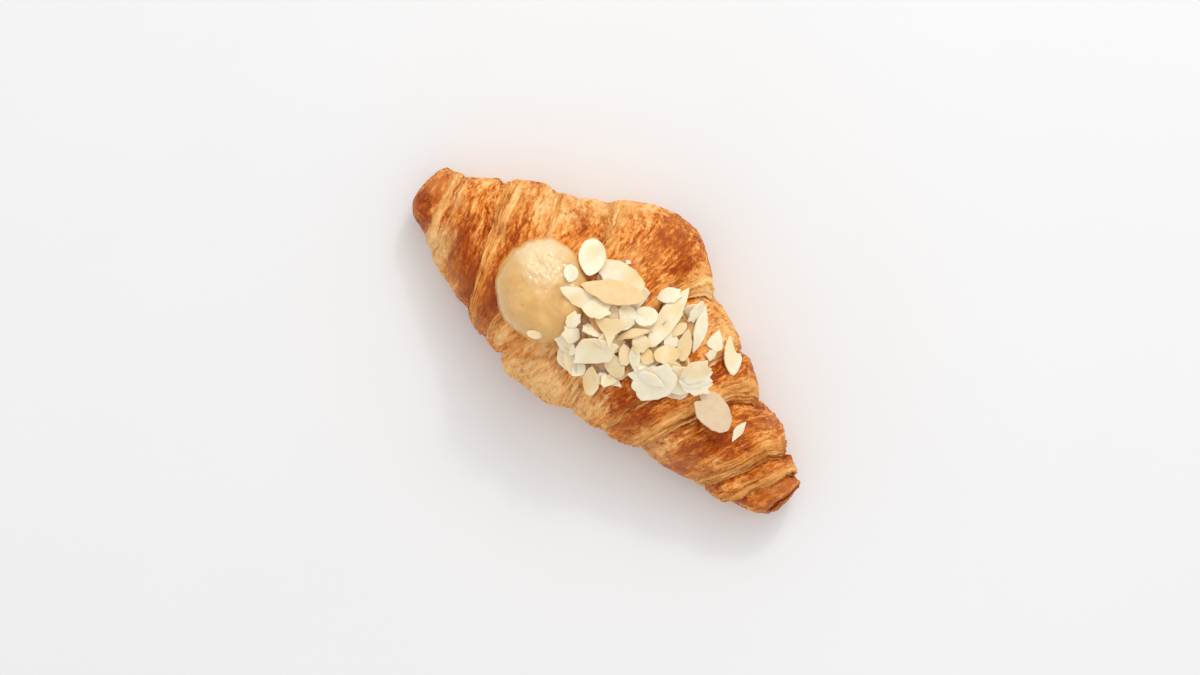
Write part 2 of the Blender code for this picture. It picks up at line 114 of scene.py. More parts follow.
# direction in the picture, distance and size in metres, power in watts and colour
PANELS = {
    "window": ((0.36, 0.82, 1.0), 1.6, 0.75, 5.2, (1.0, 0.985, 0.965)),
    "lamp": ((0.36, 0.85, 0.95), 1.6, 0.16, 2.6, (1.0, 0.99, 0.97)),
    "ceiling": ((0.1, 0.25, 1.0), 2.6, 2.2, 9.0, (1.0, 1.0, 1.0)),
}
SKY_COLOUR, SKY_STRENGTH = (0.98, 0.98, 1.0, 1.0), 0.8

for name, (direction, *rest) in PANELS.items():
    add_panel(name, picture_direction(*direction), *rest)
world = bpy.data.worlds.new("studio")
world.use_nodes = True
sky = world.node_tree.nodes["Background"].inputs
sky["Color"].default_value, sky["Strength"].default_value = SKY_COLOUR, SKY_STRENGTH
bpy.context.scene.world = world
bpy.context.scene.view_settings.view_transform = "Standard"

# %% [markdown]
# ## Helpers for node trees
# A long node tree is easier to read when it is written like a sum. A Value is the output of a
# node that knows how to be added and multiplied: each sign between two values adds a math node.
# The Wiring adds the other kinds of nodes, joins their inputs to values, and gives back a value.

# %% Node helpers
def srgb(red, green, blue):
    """A colour as a screen shows it, 0 to 255, made linear for a shader."""
    values = (v / 255 for v in (red, green, blue))
    linear = [v / 12.92 if v <= 0.04045 else ((v + 0.055) / 1.055) ** 2.4 for v in values]
    return (*linear, 1.0)


class Value:
    """The output of a node, for use in sums."""

    def __init__(self, wiring, socket):
        self.wiring, self.socket = wiring, socket


# a sign between two values, or between a value and a number, adds one math node
SIGNS = {"add": "ADD", "sub": "SUBTRACT", "mul": "MULTIPLY", "truediv": "DIVIDE", "pow": "POWER"}
for sign, operation in SIGNS.items():
    setattr(Value, f"__{sign}__", lambda a, b, kind=operation: a.wiring.math(kind, a, b))
    setattr(Value, f"__r{sign}__", lambda a, b, kind=operation: a.wiring.math(kind, b, a))


class Wiring:
    """Adds nodes to one tree."""

    def __init__(self, tree):
        self.tree = tree

    def join(self, value, socket):
        """Links a value to a socket, or sets the socket to a constant."""
        if isinstance(value, Value):
            self.tree.links.new(value.socket, socket)
        else:
            socket.default_value = value

    def node(self, kind, inputs=None, **settings):
        node = self.tree.nodes.new(kind)
        for key, value in settings.items():
            setattr(node, key, value)
        for key, value in (inputs or {}).items():
            self.join(value, node.inputs[key])
        return node

    def value(self, kind, inputs=None, output=0, **settings):
        return Value(self, self.node(kind, inputs, **settings).outputs[output])

    def outputs(self, node):
        return {socket.name: Value(self, socket) for socket in node.outputs}

    def math(self, operation, *values):
        return self.value("ShaderNodeMath", dict(enumerate(values)), operation=operation)

    def vector(self, operation, *values):
        return self.value("ShaderNodeVectorMath", dict(enumerate(values)), operation=operation)

    def scaled(self, vector, size):
        inputs = {0: vector, "Scale": size}
        return self.value("ShaderNodeVectorMath", inputs, operation="SCALE")

    def xyz(self, **parts):
        return self.value("ShaderNodeCombineXYZ", parts)

    def ramp(self, value, low, high, start=0.0, end=1.0):
        """A smooth rise from start to end while value goes from low to high."""
        inputs = {"Value": value, "From Min": low, "From Max": high, "To Min": start, "To Max": end}
        return self.value("ShaderNodeMapRange", inputs, interpolation_type="SMOOTHSTEP")

    def noise(self, vector, scale, detail=2.0, roughness=0.5, distortion=0.0):
        inputs = {"Vector": vector, "Scale": scale, "Detail": detail, "Roughness": roughness,
                  "Distortion": distortion}
        return self.value("ShaderNodeTexNoise", inputs)

    def cells(self, vector, scale):
        """The distance to the nearest of many scattered points."""
        return self.value("ShaderNodeTexVoronoi", {"Vector": vector, "Scale": scale}, "Distance")

    def mix(self, share, first, second):
        """A mix of two colours."""
        return self.value("ShaderNodeMix", {0: share, 6: first, 7: second}, 2, data_type="RGBA")

    def palette(self, value, stops):
        """A colour from a row of colours, each at its own place from 0 to 1."""
        node = self.node("ShaderNodeValToRGB", {"Fac": value})
        band = node.color_ramp.elements
        band.remove(band[1])
        band[0].position, band[0].color = stops[0]
        for place, colour in stops[1:]:
            band.new(place).color = colour
        return Value(self, node.outputs["Color"])

    def stored(self, name, kind="FLOAT"):
        """An attribute of the mesh, in a geometry tree or in a material."""
        if self.tree.type == "GEOMETRY":
            return self.value("GeometryNodeInputNamedAttribute", {"Name": name}, data_type=kind)
        return self.value("ShaderNodeAttribute", None, "Vector" if kind == "FLOAT_VECTOR" else "Fac",
                          attribute_name=name, attribute_type="GEOMETRY")

    def store(self, geometry, name, value):
        inputs = {"Geometry": geometry, "Name": name, "Value": value}
        return self.value("GeometryNodeStoreNamedAttribute", inputs, data_type="FLOAT", domain="POINT")

    def place_in_mm(self):
        """Object coordinates, in mm."""
        return self.vector("MULTIPLY", self.value("ShaderNodeTexCoord", output="Object"),
                           (1 / MM, 1 / MM, 1 / MM))

    def bump(self, height, distance, strength):
        inputs = {"Height": height, "Distance": distance, "Strength": strength}
        return self.value("ShaderNodeBump", inputs)

    def group(self, tree, **inputs):
        """A shader group placed in this tree, as its outputs by name."""
        return self.outputs(self.node("ShaderNodeGroup", inputs, node_tree=tree))


def swing(value, size):
    """A noise that lies around 0.5, as a swing about 0."""
    return (value - 0.5) * size


def add_sizes(sockets, sizes):
    for size, value in sizes.items():
        socket = sockets.new_socket(size, in_out="INPUT", socket_type="NodeSocketFloat")
        socket.default_value = value


def new_geometry_tree(name, sizes):
    """A tree with a geometry in and out, a material, a seed and named sizes."""
    tree = bpy.data.node_groups.new(name, "GeometryNodeTree")
    tree.is_modifier = True
    sockets = tree.interface
    sockets.new_socket("Geometry", in_out="OUTPUT", socket_type="NodeSocketGeometry")
    sockets.new_socket("Geometry", in_out="INPUT", socket_type="NodeSocketGeometry")
    sockets.new_socket("Material", in_out="INPUT", socket_type="NodeSocketMaterial")
    add_sizes(sockets, {"Seed": 0.0, **sizes})
    wiring = Wiring(tree)
    return tree, wiring, wiring.outputs(wiring.node("NodeGroupInput"))


def finish_tree(wiring, geometry, material):
    """Every tree ends the same way: real mesh, one material."""
    real = wiring.value("GeometryNodeRealizeInstances", {"Geometry": geometry})
    dressed = wiring.value("GeometryNodeSetMaterial", {"Geometry": real, "Material": material})
    wiring.node("NodeGroupOutput", {0: dressed})


def grow(obj, tree, **values):
    """Runs a geometry tree on an object and keeps the result as a plain mesh."""
    modifier = obj.modifiers.new(tree.name, "NODES")
    modifier.node_group = tree
    for item in tree.interface.items_tree:
        key = item.name.replace(" ", "_").lower()
        if item.in_out == "INPUT" and key in values:
            modifier[item.identifier] = values[key]
    depsgraph = bpy.context.evaluated_depsgraph_get()
    mesh = bpy.data.meshes.new_from_object(obj.evaluated_get(depsgraph))
    obj.modifiers.clear()
    obj.data = mesh
    mesh.name = obj.name
    mesh.shade_smooth()
    return obj


def triangles(obj):
    return sum(len(p.vertices) - 2 for p in obj.data.polygons)


print("helpers ready")

# %% [markdown]
# ## The form of the roll
# The same rule as the solid model's gives the crust its shape. A smooth form is drawn through the
# cross-sections, and each turn sinks below it where it meets the next: it starts low under its
# neighbour's lip, swells to a crest, and falls away in a lip of its own. All sizes are in mm.

# %% Sections and edges
TIP = 85.4
# x, near edge, far edge and top of the smooth form
SECTIONS = np.array((
    (-85, -20.0, 0.5, 20.0), (-75, -22.1, 3.8, 25.0), (-65, -27.6, 11.5, 30.5),
    (-54, -30.6, 18.8, 35.5), (-40, -36.0, 23.8, 40.5), (-28, -37.6, 32.6, 44.0),
    (-15, -38.8, 39.8, 47.0), (-2, -39.2, 40.4, 48.5), (10, -36.0, 34.6, 46.5),
    (25, -33.4, 25.8, 43.0), (40, -30.4, 20.4, 38.0), (55, -27.2, 11.6, 32.5),
    (65, -26.2, 8.6, 29.0), (75, -23.3, 2.4, 24.5), (85, -19.4, -1.6, 19.5),
))
# where a turn ends on the next one: x at the far side, on top and at the near side, and how deep
STEPS = np.array((
    (-80.2, -76.6, -72.6, 1.3), (-75.4, -72.4, -67.8, 1.7), (-62.6, -56.0, -44.5, 3.8),
    (-47.0, -38.5, -33.5, 1.3), (-31.2, -21.5, -25.0, 2.8), (17.5, 2.5, 5.0, 3.6),
    (37.0, 28.0, 19.0, 2.6), (53.0, 41.5, 32.0, 3.9), (73.2, 66.5, 58.5, 2.8),
    (80.0, 74.8, 69.2, 2.4),
))
# for each of those edges: how far up the turn its bare layers reach, and how golden they are
LAYERED = ((2.6, 0.45), (3.0, 0.3), (6.0, 1.0), (2.6, 0.6), (4.2, 0.8), (6.0, 0.75), (3.2, 0.4),
           (7.0, 0.5), (7.6, 0.65), (4.6, 0.8))
CENTRE_TURN, LAST_TURN = 5, 10
TIPS = (0, LAST_TURN + 1)                # the edges at the ends of the roll
WAIST, FLOOR_CUT = 0.43, 1.6   # the widest level, as a share of the top, and how flat the foot is
TIP_LIFT, TIP_LIFT_FROM, TIP_LIFT_OVER = 2.6, 58.0, 27.0         # the tips rise off the tray
UPPER_POWER, LOWER_POWER, CAP_POWER = 0.93, 0.70, 2 / 3          # how round the section and tips are
# a turn rises from its neighbour's edge and falls in a lip, as shares of its width, and leans over
RISE_END, LIP_START, LIP_LEAN, LIP_FALL = 0.34, 0.58, 0.35, 1.8
NEAR_RELIEF, UNDER_RELIEF = 0.62, 0.15   # how much of the steps is left near and underneath
UNEVEN, UNEVEN_SPAN, UNEVEN_WAVES = 1.3, 17.0, 1.7
WANDER, WANDER_SEED, WANDER_WAVES = 1.5, 3.7, 1.6                # the edges don't run straight
# how far the seam at each edge stands open, 1 being fully open
SEAMS_OPEN = (0.15, 0.1, 0.45, 0.3, 0.55, 1.0, 0.3, 1.0, 0.9, 0.8)
# the puffed tail of the dough: its ends, its edges in degrees, the steep upper one first, and the
# slant of that edge at the left end
TAIL_FROM, TAIL_TO, TAIL_RISE = -26.0, 1.5, 3.0
TAIL_ANGLES, TAIL_SLANT, TAIL_SLANT_OVER = (131.0, 134.5, 152.0, 174.0), 17.0, 15.0
TAIL_SWELL_OVER, TAIL_END_OVER, TAIL_SHADE = 7.0, 3.0, 0.15
TAIL_STRAY, TAIL_STRAY_SPAN, TAIL_STRAY_WAVES = 4.0, 6.0, 3
# the mouth at the right tip, where the roll's end stands open
ROLL_MOUTH, MOUTH_EDGE = 3.2, 0.62
SLIT_AT, SLIT_WIDE, SLIT_DEEP = 0.47, 0.035, 1.3
print(len(SECTIONS), "cross-sections and", len(STEPS), "edges")

# %% The rule of the roll
def ease(low, high, value):
    """0 below low, 1 above high, and a smooth rise between."""
    share = np.clip((value - low) / (high - low), 0.0, 1.0)
    return share * share * (3 - 2 * share)


def ripple(*coordinates):
    """Smooth noise, from -1 to 1, at each point of some arrays of coordinates."""
    arrays = np.broadcast_arrays(*coordinates)
    flat = zip(*(a.ravel().tolist() for a in arrays))
    return np.array([noise.noise(p) for p in flat]).reshape(arrays[0].shape)


def circle(waves, angle):
    """Two coordinates for a ripple that closes on itself. More waves make it finer."""
    return waves * np.cos(angle), waves * np.sin(angle)


def section(x):
    """The near edge, far edge and top of the smooth form at each x."""
    places, last = SECTIONS[:, 0], len(SECTIONS) - 1
    x = np.clip(x, places[0], places[-1])
    i = np.clip(np.searchsorted(places, x, side="right") - 1, 0, last - 1)
    before, start, end, after = (SECTIONS[np.clip(i + k, 0, last)] for k in (-1, 0, 1, 2))
    span = (end - start)[..., :1]
    t = (x[..., None] - start[..., :1]) / span
    slope_in = (end - before) / (end - before)[..., :1] * span
    slope_out = (after - start) / (after - start)[..., :1] * span
    curve = ((2 * t**3 - 3 * t**2 + 1) * start + (t**3 - 2 * t**2 + t) * slope_in
             + (3 * t**2 - 2 * t**3) * end + (t**3 - t**2) * slope_out)
    return curve[..., 1], curve[..., 2], curve[..., 3]


def edge_x(number, angle):
    """x of edge number 0 to 11 at each angle round the roll."""
    if number in TIPS:
        return np.full_like(angle, -TIP if number == 0 else TIP)
    far, top, near = STEPS[number - 1][:3]
    across = np.cos(angle)         # 1 at the far side, 0 on top and -1 near
    even = top + (far - near) / 2 * across + ((far + near) / 2 - top) * across * across
    return even + WANDER * ripple(number * WANDER_SEED, *circle(WANDER_WAVES, angle))


def edge_depth(number):
    return 0.0 if number in TIPS else STEPS[number - 1][3]


def openness(number):
    """How far the seam at an edge stands open. Some are baked shut."""
    return 0.0 if number in TIPS else SEAMS_OPEN[number - 1]


def softening(angle):
    """The steps are lower on the near side and nearly flat underneath."""
    across, up = np.cos(angle), np.sin(angle)
    soft = UNDER_RELIEF + (1 - UNDER_RELIEF) * ease(-0.6, 0.3, up)
    return soft * (NEAR_RELIEF + (1 - NEAR_RELIEF) * ease(-1.0, 0.2, across))


def tail(x, angle):
    """1 on the puffed tail of the dough and 0 beside it."""
    stray = TAIL_STRAY * ripple(x / TAIL_STRAY_SPAN, *circle(TAIL_STRAY_WAVES, angle))
    slant = TAIL_SLANT * (1 - ease(TAIL_FROM, TAIL_FROM + TAIL_SLANT_OVER, x))
    degrees = np.degrees(angle) + stray - slant
    place = x + 0.3 * stray
    along = ease(TAIL_FROM, TAIL_FROM + TAIL_SWELL_OVER, place)
    along = along - ease(TAIL_TO - TAIL_END_OVER, TAIL_TO, place)
    foot, brow, fall, end = TAIL_ANGLES
    return along * (ease(foot, brow, degrees) - ease(fall, end, degrees))


def skin(x, angle, depth, fill=1.0):
    """Points of the crust, that far below the smooth form. fill closes the form at a tip."""
    across, up = np.cos(angle), np.sin(angle)
    depth = depth - UNEVEN * ripple(x / UNEVEN_SPAN, *circle(UNEVEN_WAVES, angle))
    depth = depth - TAIL_RISE * tail(x, angle)
    near, far, top = section(x)
    waist = WAIST * top
    power = np.where(up >= 0, UPPER_POWER, LOWER_POWER)
    height = np.where(up >= 0, top - waist, waist + FLOOR_CUT) - depth
    width = (far - near) / 2 - depth
    y = (near + far) / 2 + np.sign(across) * abs(across) ** power * width * fill
    z = waist + np.sign(up) * abs(up) ** power * height * fill
    z = z + TIP_LIFT * ease(TIP_LIFT_FROM, TIP_LIFT_FROM + TIP_LIFT_OVER, abs(x))
    return np.stack(np.broadcast_arrays(x, y, np.maximum(z, 0.0)), -1)


print(f"{len(STEPS) + 1} turns between the tips")

# %% [markdown]
# ## One turn of dough
# Each turn is a mesh of its own, as on the real roll, where a turn is a separate sheet over the
# one before. A single skin could not have the dark, open seams below the lips. A turn is lofted
# ring by ring: it comes out from below its neighbour's lip, and its own lip curls under and runs
# back into the roll, so that each turn is closed. The rings also carry what the layers need to
# know later: how far across and around the turn a point lies, and how near it is to the lip.

# %% Build a turn
ROW_STEP = 0.22
COLUMN_STEP = 0.4
LIP_THICK = 1.0                # the rolled-under edge of a lip
LIP_FLOAT = 0.55               # how far a lip stands off the turn below it
SEAM_DIP, SEAM_DIP_SPAN = 0.55, 1.3      # and how far that turn dips below the lip
SEAM_SHADE = 0.45              # how dark the dip is
EDGE_RAG = 0.55                # how ragged the lips are, in waves: seed, fineness, share
RAG_WAVES = ((9.1, 5, 1.0), (5.3, 17, 0.5), (2.9, 44, 0.45))
GAPE, GAPE_WAVES = 0.7, 2.2              # how unevenly the seams stand open
FEWEST_ROWS, TIP_ROWS = 12, 1.6          # a tip is steeper, so it has more rows to the mm
GIRTH_SHOWN, GIRTH_UNDER = 118, 34       # round a turn, in mm
TUCK = ((1.3, 0.6), (2.7, 1.4), (4.2, 2.6))      # rows under the neighbour: how far in, how deep
CURL = range(30, 181, 30)      # the lip rolls under, in degrees
CURL_BACK = ((1.6, 0.2), (3.4, 1.2))


def ring_angles(step):
    """Angles round the roll from the middle of the underside, closest where the crust shows."""
    under, over = max(round(GIRTH_UNDER / (3 * step)), 6), round(GIRTH_SHOWN / step)
    stretches = ((-90, -25, under), (-25, 205, over), (205, 270, under))
    return np.radians(np.concatenate([np.linspace(*s, endpoint=False) for s in stretches]))


def rough_edge(number, angle):
    if number in TIPS:
        return edge_x(number, angle)
    rag = sum(share * ripple(number * seed, *circle(waves, angle)) for seed, waves, share in RAG_WAVES)
    return edge_x(number, angle) + EDGE_RAG * rag


def turn_rings(turn, angle):
    """Every ring of a turn from left to right, as points, mm across, out, show and shade.

    out goes from 0 at the neighbour, or at the centre's crest, to 1 at the lip. show is 0 on the
    rings that are hidden, and shade is the painted shade in the seam and in the slit.
    """
    start, end = rough_edge(turn, angle), rough_edge(turn + 1, angle)
    soft = softening(angle)
    width = float(np.mean(end - start))
    left = "tip" if turn == 0 else "lip" if turn <= CENTRE_TURN else "tuck"
    right = "tip" if turn == LAST_TURN else "lip" if turn >= CENTRE_TURN else "tuck"
    gape = 1 + GAPE * ripple(turn * 2.3 + 7, *circle(GAPE_WAVES, angle))
    rows = []

    def row(x, depth, across_mm, out, show, lean=0.0, fill=1.0, shade=0.0):
        points = skin(x, angle, depth, fill)
        points[:, 0] += lean
        told = (np.broadcast_to(value, angle.shape) for value in (across_mm, out, show, shade))
        rows.append((points, *told))

    def lip_depth(number):
        return (edge_depth(number) - LIP_FLOAT * gape * openness(number)) * soft

    def side_rows(kind, number, x, towards, across_mm):
        """The hidden rows at one end, from the visible edge inwards."""
        made = []
        if kind == "lip":
            thick = LIP_THICK / 2
            for degrees in CURL:
                turned = math.radians(degrees)
                made.append((x + towards * thick * math.sin(turned),
                             lip_depth(number) + thick * (1 - math.cos(turned)),
                             1.0, max(1 - degrees / 90, 0.0)))
            made += [(x - towards * back, lip_depth(number) + LIP_THICK + deeper, 1.0, 0.0)
                     for back, deeper in CURL_BACK]
        else:
            dip = SEAM_DIP * gape * openness(number)
            made += [(x + towards * back, edge_depth(number) * soft + dip + deeper, 0.0, 0.0)
                     for back, deeper in TUCK]
        return [(*values, across_mm) for values in made]

    if left != "tip":
        for x, depth, out, show, across_mm in reversed(side_rows(left, turn, start, -1, 0.0)):
            row(x, depth, across_mm, out, show)
    count = max(round(width / ROW_STEP), FEWEST_ROWS)
    if "tip" in (left, right):
        count = round(TIP_ROWS * count)
    for share in np.linspace(0, 1, count + 1):
        across_mm, fill, lean = share * width, 1.0, 0.0
        if "tip" in (left, right):
            out = 1 - share if turn == 0 else share
            fill = max(math.cos(out * math.pi / 2), 0.0) ** CAP_POWER
            reach = math.sin(out * math.pi / 2) ** CAP_POWER
            x = end + (start - end) * reach if turn == 0 else start + (end - start) * reach
            if turn == LAST_TURN:
                x = x - ROLL_MOUTH * (1 - ease(0, MOUTH_EDGE, fill))
            inner, outer, towards = (1, 0, -1) if turn == 0 else (turn, turn + 1, 1)
            near_tuck = reach * abs(end - start)
        else:
            x = start + (end - start) * share
            if turn == CENTRE_TURN:
                out = abs(2 * share - 1)
                towards = -1 if share < 0.5 else 1
                inner, outer = None, (turn if share < 0.5 else turn + 1)
            elif turn < CENTRE_TURN:
                out, towards, inner, outer = 1 - share, -1, turn + 1, turn
            else:
                out, towards, inner, outer = share, 1, turn, turn + 1
            near_tuck = out * abs(end - start)
        lip = max(out - LIP_START, 0) / (1 - LIP_START)
        depth = 0.0 if outer in TIPS else lip_depth(outer) * lip**LIP_FALL
        shade = 0.0
        if inner is not None:
            depth = depth + edge_depth(inner) * soft * (1 - ease(0, RISE_END, out))
            # the seam below a lip is sunk, and darkened there with painted shade
            seam = np.exp(-((near_tuck / SEAM_DIP_SPAN) ** 2)) * gape * openness(inner)
            depth, shade = depth + SEAM_DIP * seam, SEAM_SHADE * seam * soft
        lean = towards * LIP_LEAN * edge_depth(outer) * math.sin(math.pi * lip**2) * soft
        if turn == LAST_TURN:
            # the slit in the mouth is sunk and darkened with painted shade
            slit = np.exp(-(((out - SLIT_AT) / SLIT_WIDE) ** 2)) * ease(0.0, 0.5, np.sin(angle))
            depth, shade = depth + SLIT_DEEP * slit, shade + slit
        row(x, depth, across_mm, out, 1.0, lean, fill, shade)
    if right != "tip":
        for x, depth, out, show, across_mm in side_rows(right, turn + 1, end, 1, width):
            row(x, depth, across_mm, out, show)
    return rows, left, right, width


print(len(ring_angles(COLUMN_STEP)), "points round a turn")

# %% Rings become a mesh
def mesh_from_rings(name, rings, caps):
    """A closed skin over rings of points, in mm, with a point of its own to close each end."""
    count, around = len(rings), len(rings[0])
    points = np.concatenate((np.concatenate(rings), caps))
    ring, k = np.meshgrid(np.arange(count - 1), np.arange(around), indexing="ij")
    n = (k + 1) % around
    quads = np.stack((ring * around + k, ring * around + n, (ring + 1) * around + n,
                      (ring + 1) * around + k), -1).reshape(-1, 4)
    k = np.arange(around)
    n = (k + 1) % around
    first = np.stack((k, np.full(around, count * around), n), -1)
    last = np.stack((n, np.full(around, count * around + 1), k), -1)
    last[:, [0, 2]] += (count - 1) * around
    corners = np.concatenate((quads.ravel(), first.ravel(), last.ravel()))
    sizes = np.concatenate((np.full(len(quads), 4), np.full(2 * around, 3)))
    mesh = bpy.data.meshes.new(name)
    mesh.vertices.add(len(points))
    mesh.vertices.foreach_set("co", (points * MM).ravel())
    mesh.loops.add(len(corners))
    mesh.loops.foreach_set("vertex_index", corners)
    mesh.polygons.add(len(sizes))
    mesh.polygons.foreach_set("loop_start", np.concatenate(((0,), np.cumsum(sizes)[:-1])))
    mesh.update(calc_edges=True)
    mesh.validate()
    return mesh


def write_attribute(mesh, name, values, kind="FLOAT"):
    attribute = mesh.attributes.new(name, kind, "POINT")
    field = "vector" if kind == "FLOAT_VECTOR" else "value"
    attribute.data.foreach_set(field, np.ascontiguousarray(values, dtype=np.float32).ravel())


print("mesh helpers ready")

# %% [markdown]
# ## Where the crust has browned
# Neither the heat nor the egg wash was even. The tables say how far each turn has browned, and
# where the wash pooled, dried or is missing. The turns on the right are also darker as painted
# shade, and the dried wash is tinted towards a painted sheen. Every turn carries them as
# attributes of its mesh, beside the place of each point on the dough, for the layers and the
# colours to follow.

# %% Browned and pale places
TURN_NAMES = ("left_tip", "left_4", "left_3", "left_2", "left_1", "centre",
              "right_1", "right_2", "right_3", "right_4", "right_tip")
# how strongly each turn's crest has browned; the turns on the right are set darker also as painted
# shade
TURN_BAKE_AND_SHADE = (0.6, 0.24, 0.3, 0.36, 0.3, 0.3, 0.38, 0.5, 0.64, 0.6, 0.56)
# how high its bare layers stand at the lips, in mm
TURN_LAYERS = (0.2, 0.25, 0.35, 0.45, 0.45, 0.6, 0.6, 0.75, 0.75, 0.6, 0.5)
# the bare layers fade over these shares of their reach, and their reach varies round the roll
LAYERED_FADE, LAYERED_STRAY, LAYERED_SPAN = (0.35, 1.15), 0.5, 9.0
# where the egg wash pooled and the crust is darkest: x, y, reach and strength
SCORCHED = (
    (-61.0, -16.5, 6.5, 0.6), (-64.0, -9.0, 4.0, 0.3), (-78.6, -15.5, 4.5, 0.5),
    (14.8, -21.5, 5.0, 0.4), (-6.2, 34.0, 9.0, 0.4), (3.6, 33.0, 8.0, 0.4), (0.0, 17.0, 8.0, 0.25),
    (-47.6, -6.0, 5.0, 0.4), (-30.0, 14.0, 5.0, 0.35), (-41.6, -26.6, 9.0, 0.8),
    (-51.0, -23.0, 7.0, 0.75), (51.0, -12.0, 6.0, 0.25), (28.0, -19.6, 7.0, 0.3),
    (22.6, -28.0, 7.0, 0.15), (40.0, 9.0, 7.0, 0.4), (48.3, -25.0, 7.0, 0.3), (62.0, -6.0, 6.0, 0.2),
    (7.0, 24.0, 5.0, 0.35), (82.0, -14.0, 6.0, 0.25), (-52.0, 6.0, 4.0, 0.3),
)
# where it lies thick, clear and amber
AMBER = (
    (-61.3, -16.8, 5.6, 1.5), (-64.5, -12.0, 3.5, 0.5), (-49.5, -18.5, 3.0, 0.8),
    (-53.6, -4.0, 3.2, 0.7), (-82.7, -13.3, 2.4, 0.8), (16.0, -20.8, 4.6, 1.1),
    (51.6, -12.1, 4.0, 0.9), (27.2, -21.2, 3.6, 0.7), (-36.0, 17.0, 3.0, 0.6),
    (38.0, 12.0, 3.6, 0.6), (3.0, 28.0, 3.6, 0.6), (44.0, -18.0, 3.0, 0.4),
)
# where the egg wash dried to a smooth, even skin, its colour tinted towards a painted sheen
WASH_AND_SHEEN = (
    (-80.5, -6.0, 6.5, 1.0), (-70.9, -5.9, 3.5, 0.7), (-38.6, -31.0, 7.0, 0.9),
    (-57.5, -25.5, 6.0, 0.9), (-7.9, 35.7, 7.0, 0.6), (-12.8, 15.9, 4.5, 0.8),
    (-8.8, 23.8, 4.0, 0.6), (23.3, -28.2, 6.0, 0.9), (50.0, -23.6, 6.5, 0.8),
    (-50.0, 16.0, 7.0, 0.3), (80.0, -9.0, 9.0, 1.0), (-20.0, 30.0, 6.0, 0.4),
    (-47.0, -24.0, 5.0, 0.6),
)
# and where it stayed pale
UNBAKED = (
    (-67.0, -21.0, 6.0, 0.9), (-56.0, -32.0, 4.5, 0.35), (37.0, -23.5, 7.0, 0.6),
    (8.1, -33.4, 8.0, 0.9), (37.0, -31.0, 6.0, 0.6), (14.5, 27.5, 5.0, 0.8), (27.0, 21.0, 8.0, 0.5),
    (-26.0, 33.0, 6.0, 0.5), (-29.0, -30.5, 5.0, 0.7), (-15.0, -25.0, 6.5, 0.9),
    (-64.4, -25.6, 4.0, 0.5), (-52.8, -30.0, 3.4, 0.6), (-41.9, -34.4, 3.4, 0.6),
    (-71.5, -22.5, 3.5, 0.5), (-46.0, 14.0, 8.0, 0.3), (-32.0, 25.0, 7.0, 0.4),
    (60.0, 6.0, 6.0, 0.3), (58.0, -26.0, 6.0, 0.4),
)
LAY_APART = 31.7               # so that no two turns have the same grain
UNDER_PALE = 0.5               # the underside bakes less


def spots(points, places):
    """How strongly each point is covered by round, soft-edged spots."""
    total = np.zeros(len(points))
    for x, y, reach, strength in places:
        away = np.hypot(points[:, 0] - x, points[:, 1] - y) / reach
        total += strength * np.exp(-(away**2))
    return total


print("spots:", *(len(places) for places in (SCORCHED, AMBER, WASH_AND_SHEEN, UNBAKED)))

# %% Make the turns
def edges_of_lips(turn, across, width):
    """The number of the edge that each point's lip belongs to, 0 for the smooth ends."""
    if turn in (0, LAST_TURN):
        return np.zeros(len(across), dtype=int)
    if turn == CENTRE_TURN:
        return np.where(across < width / 2, turn, turn + 1)
    return np.full(len(across), turn if turn < CENTRE_TURN else turn + 1)


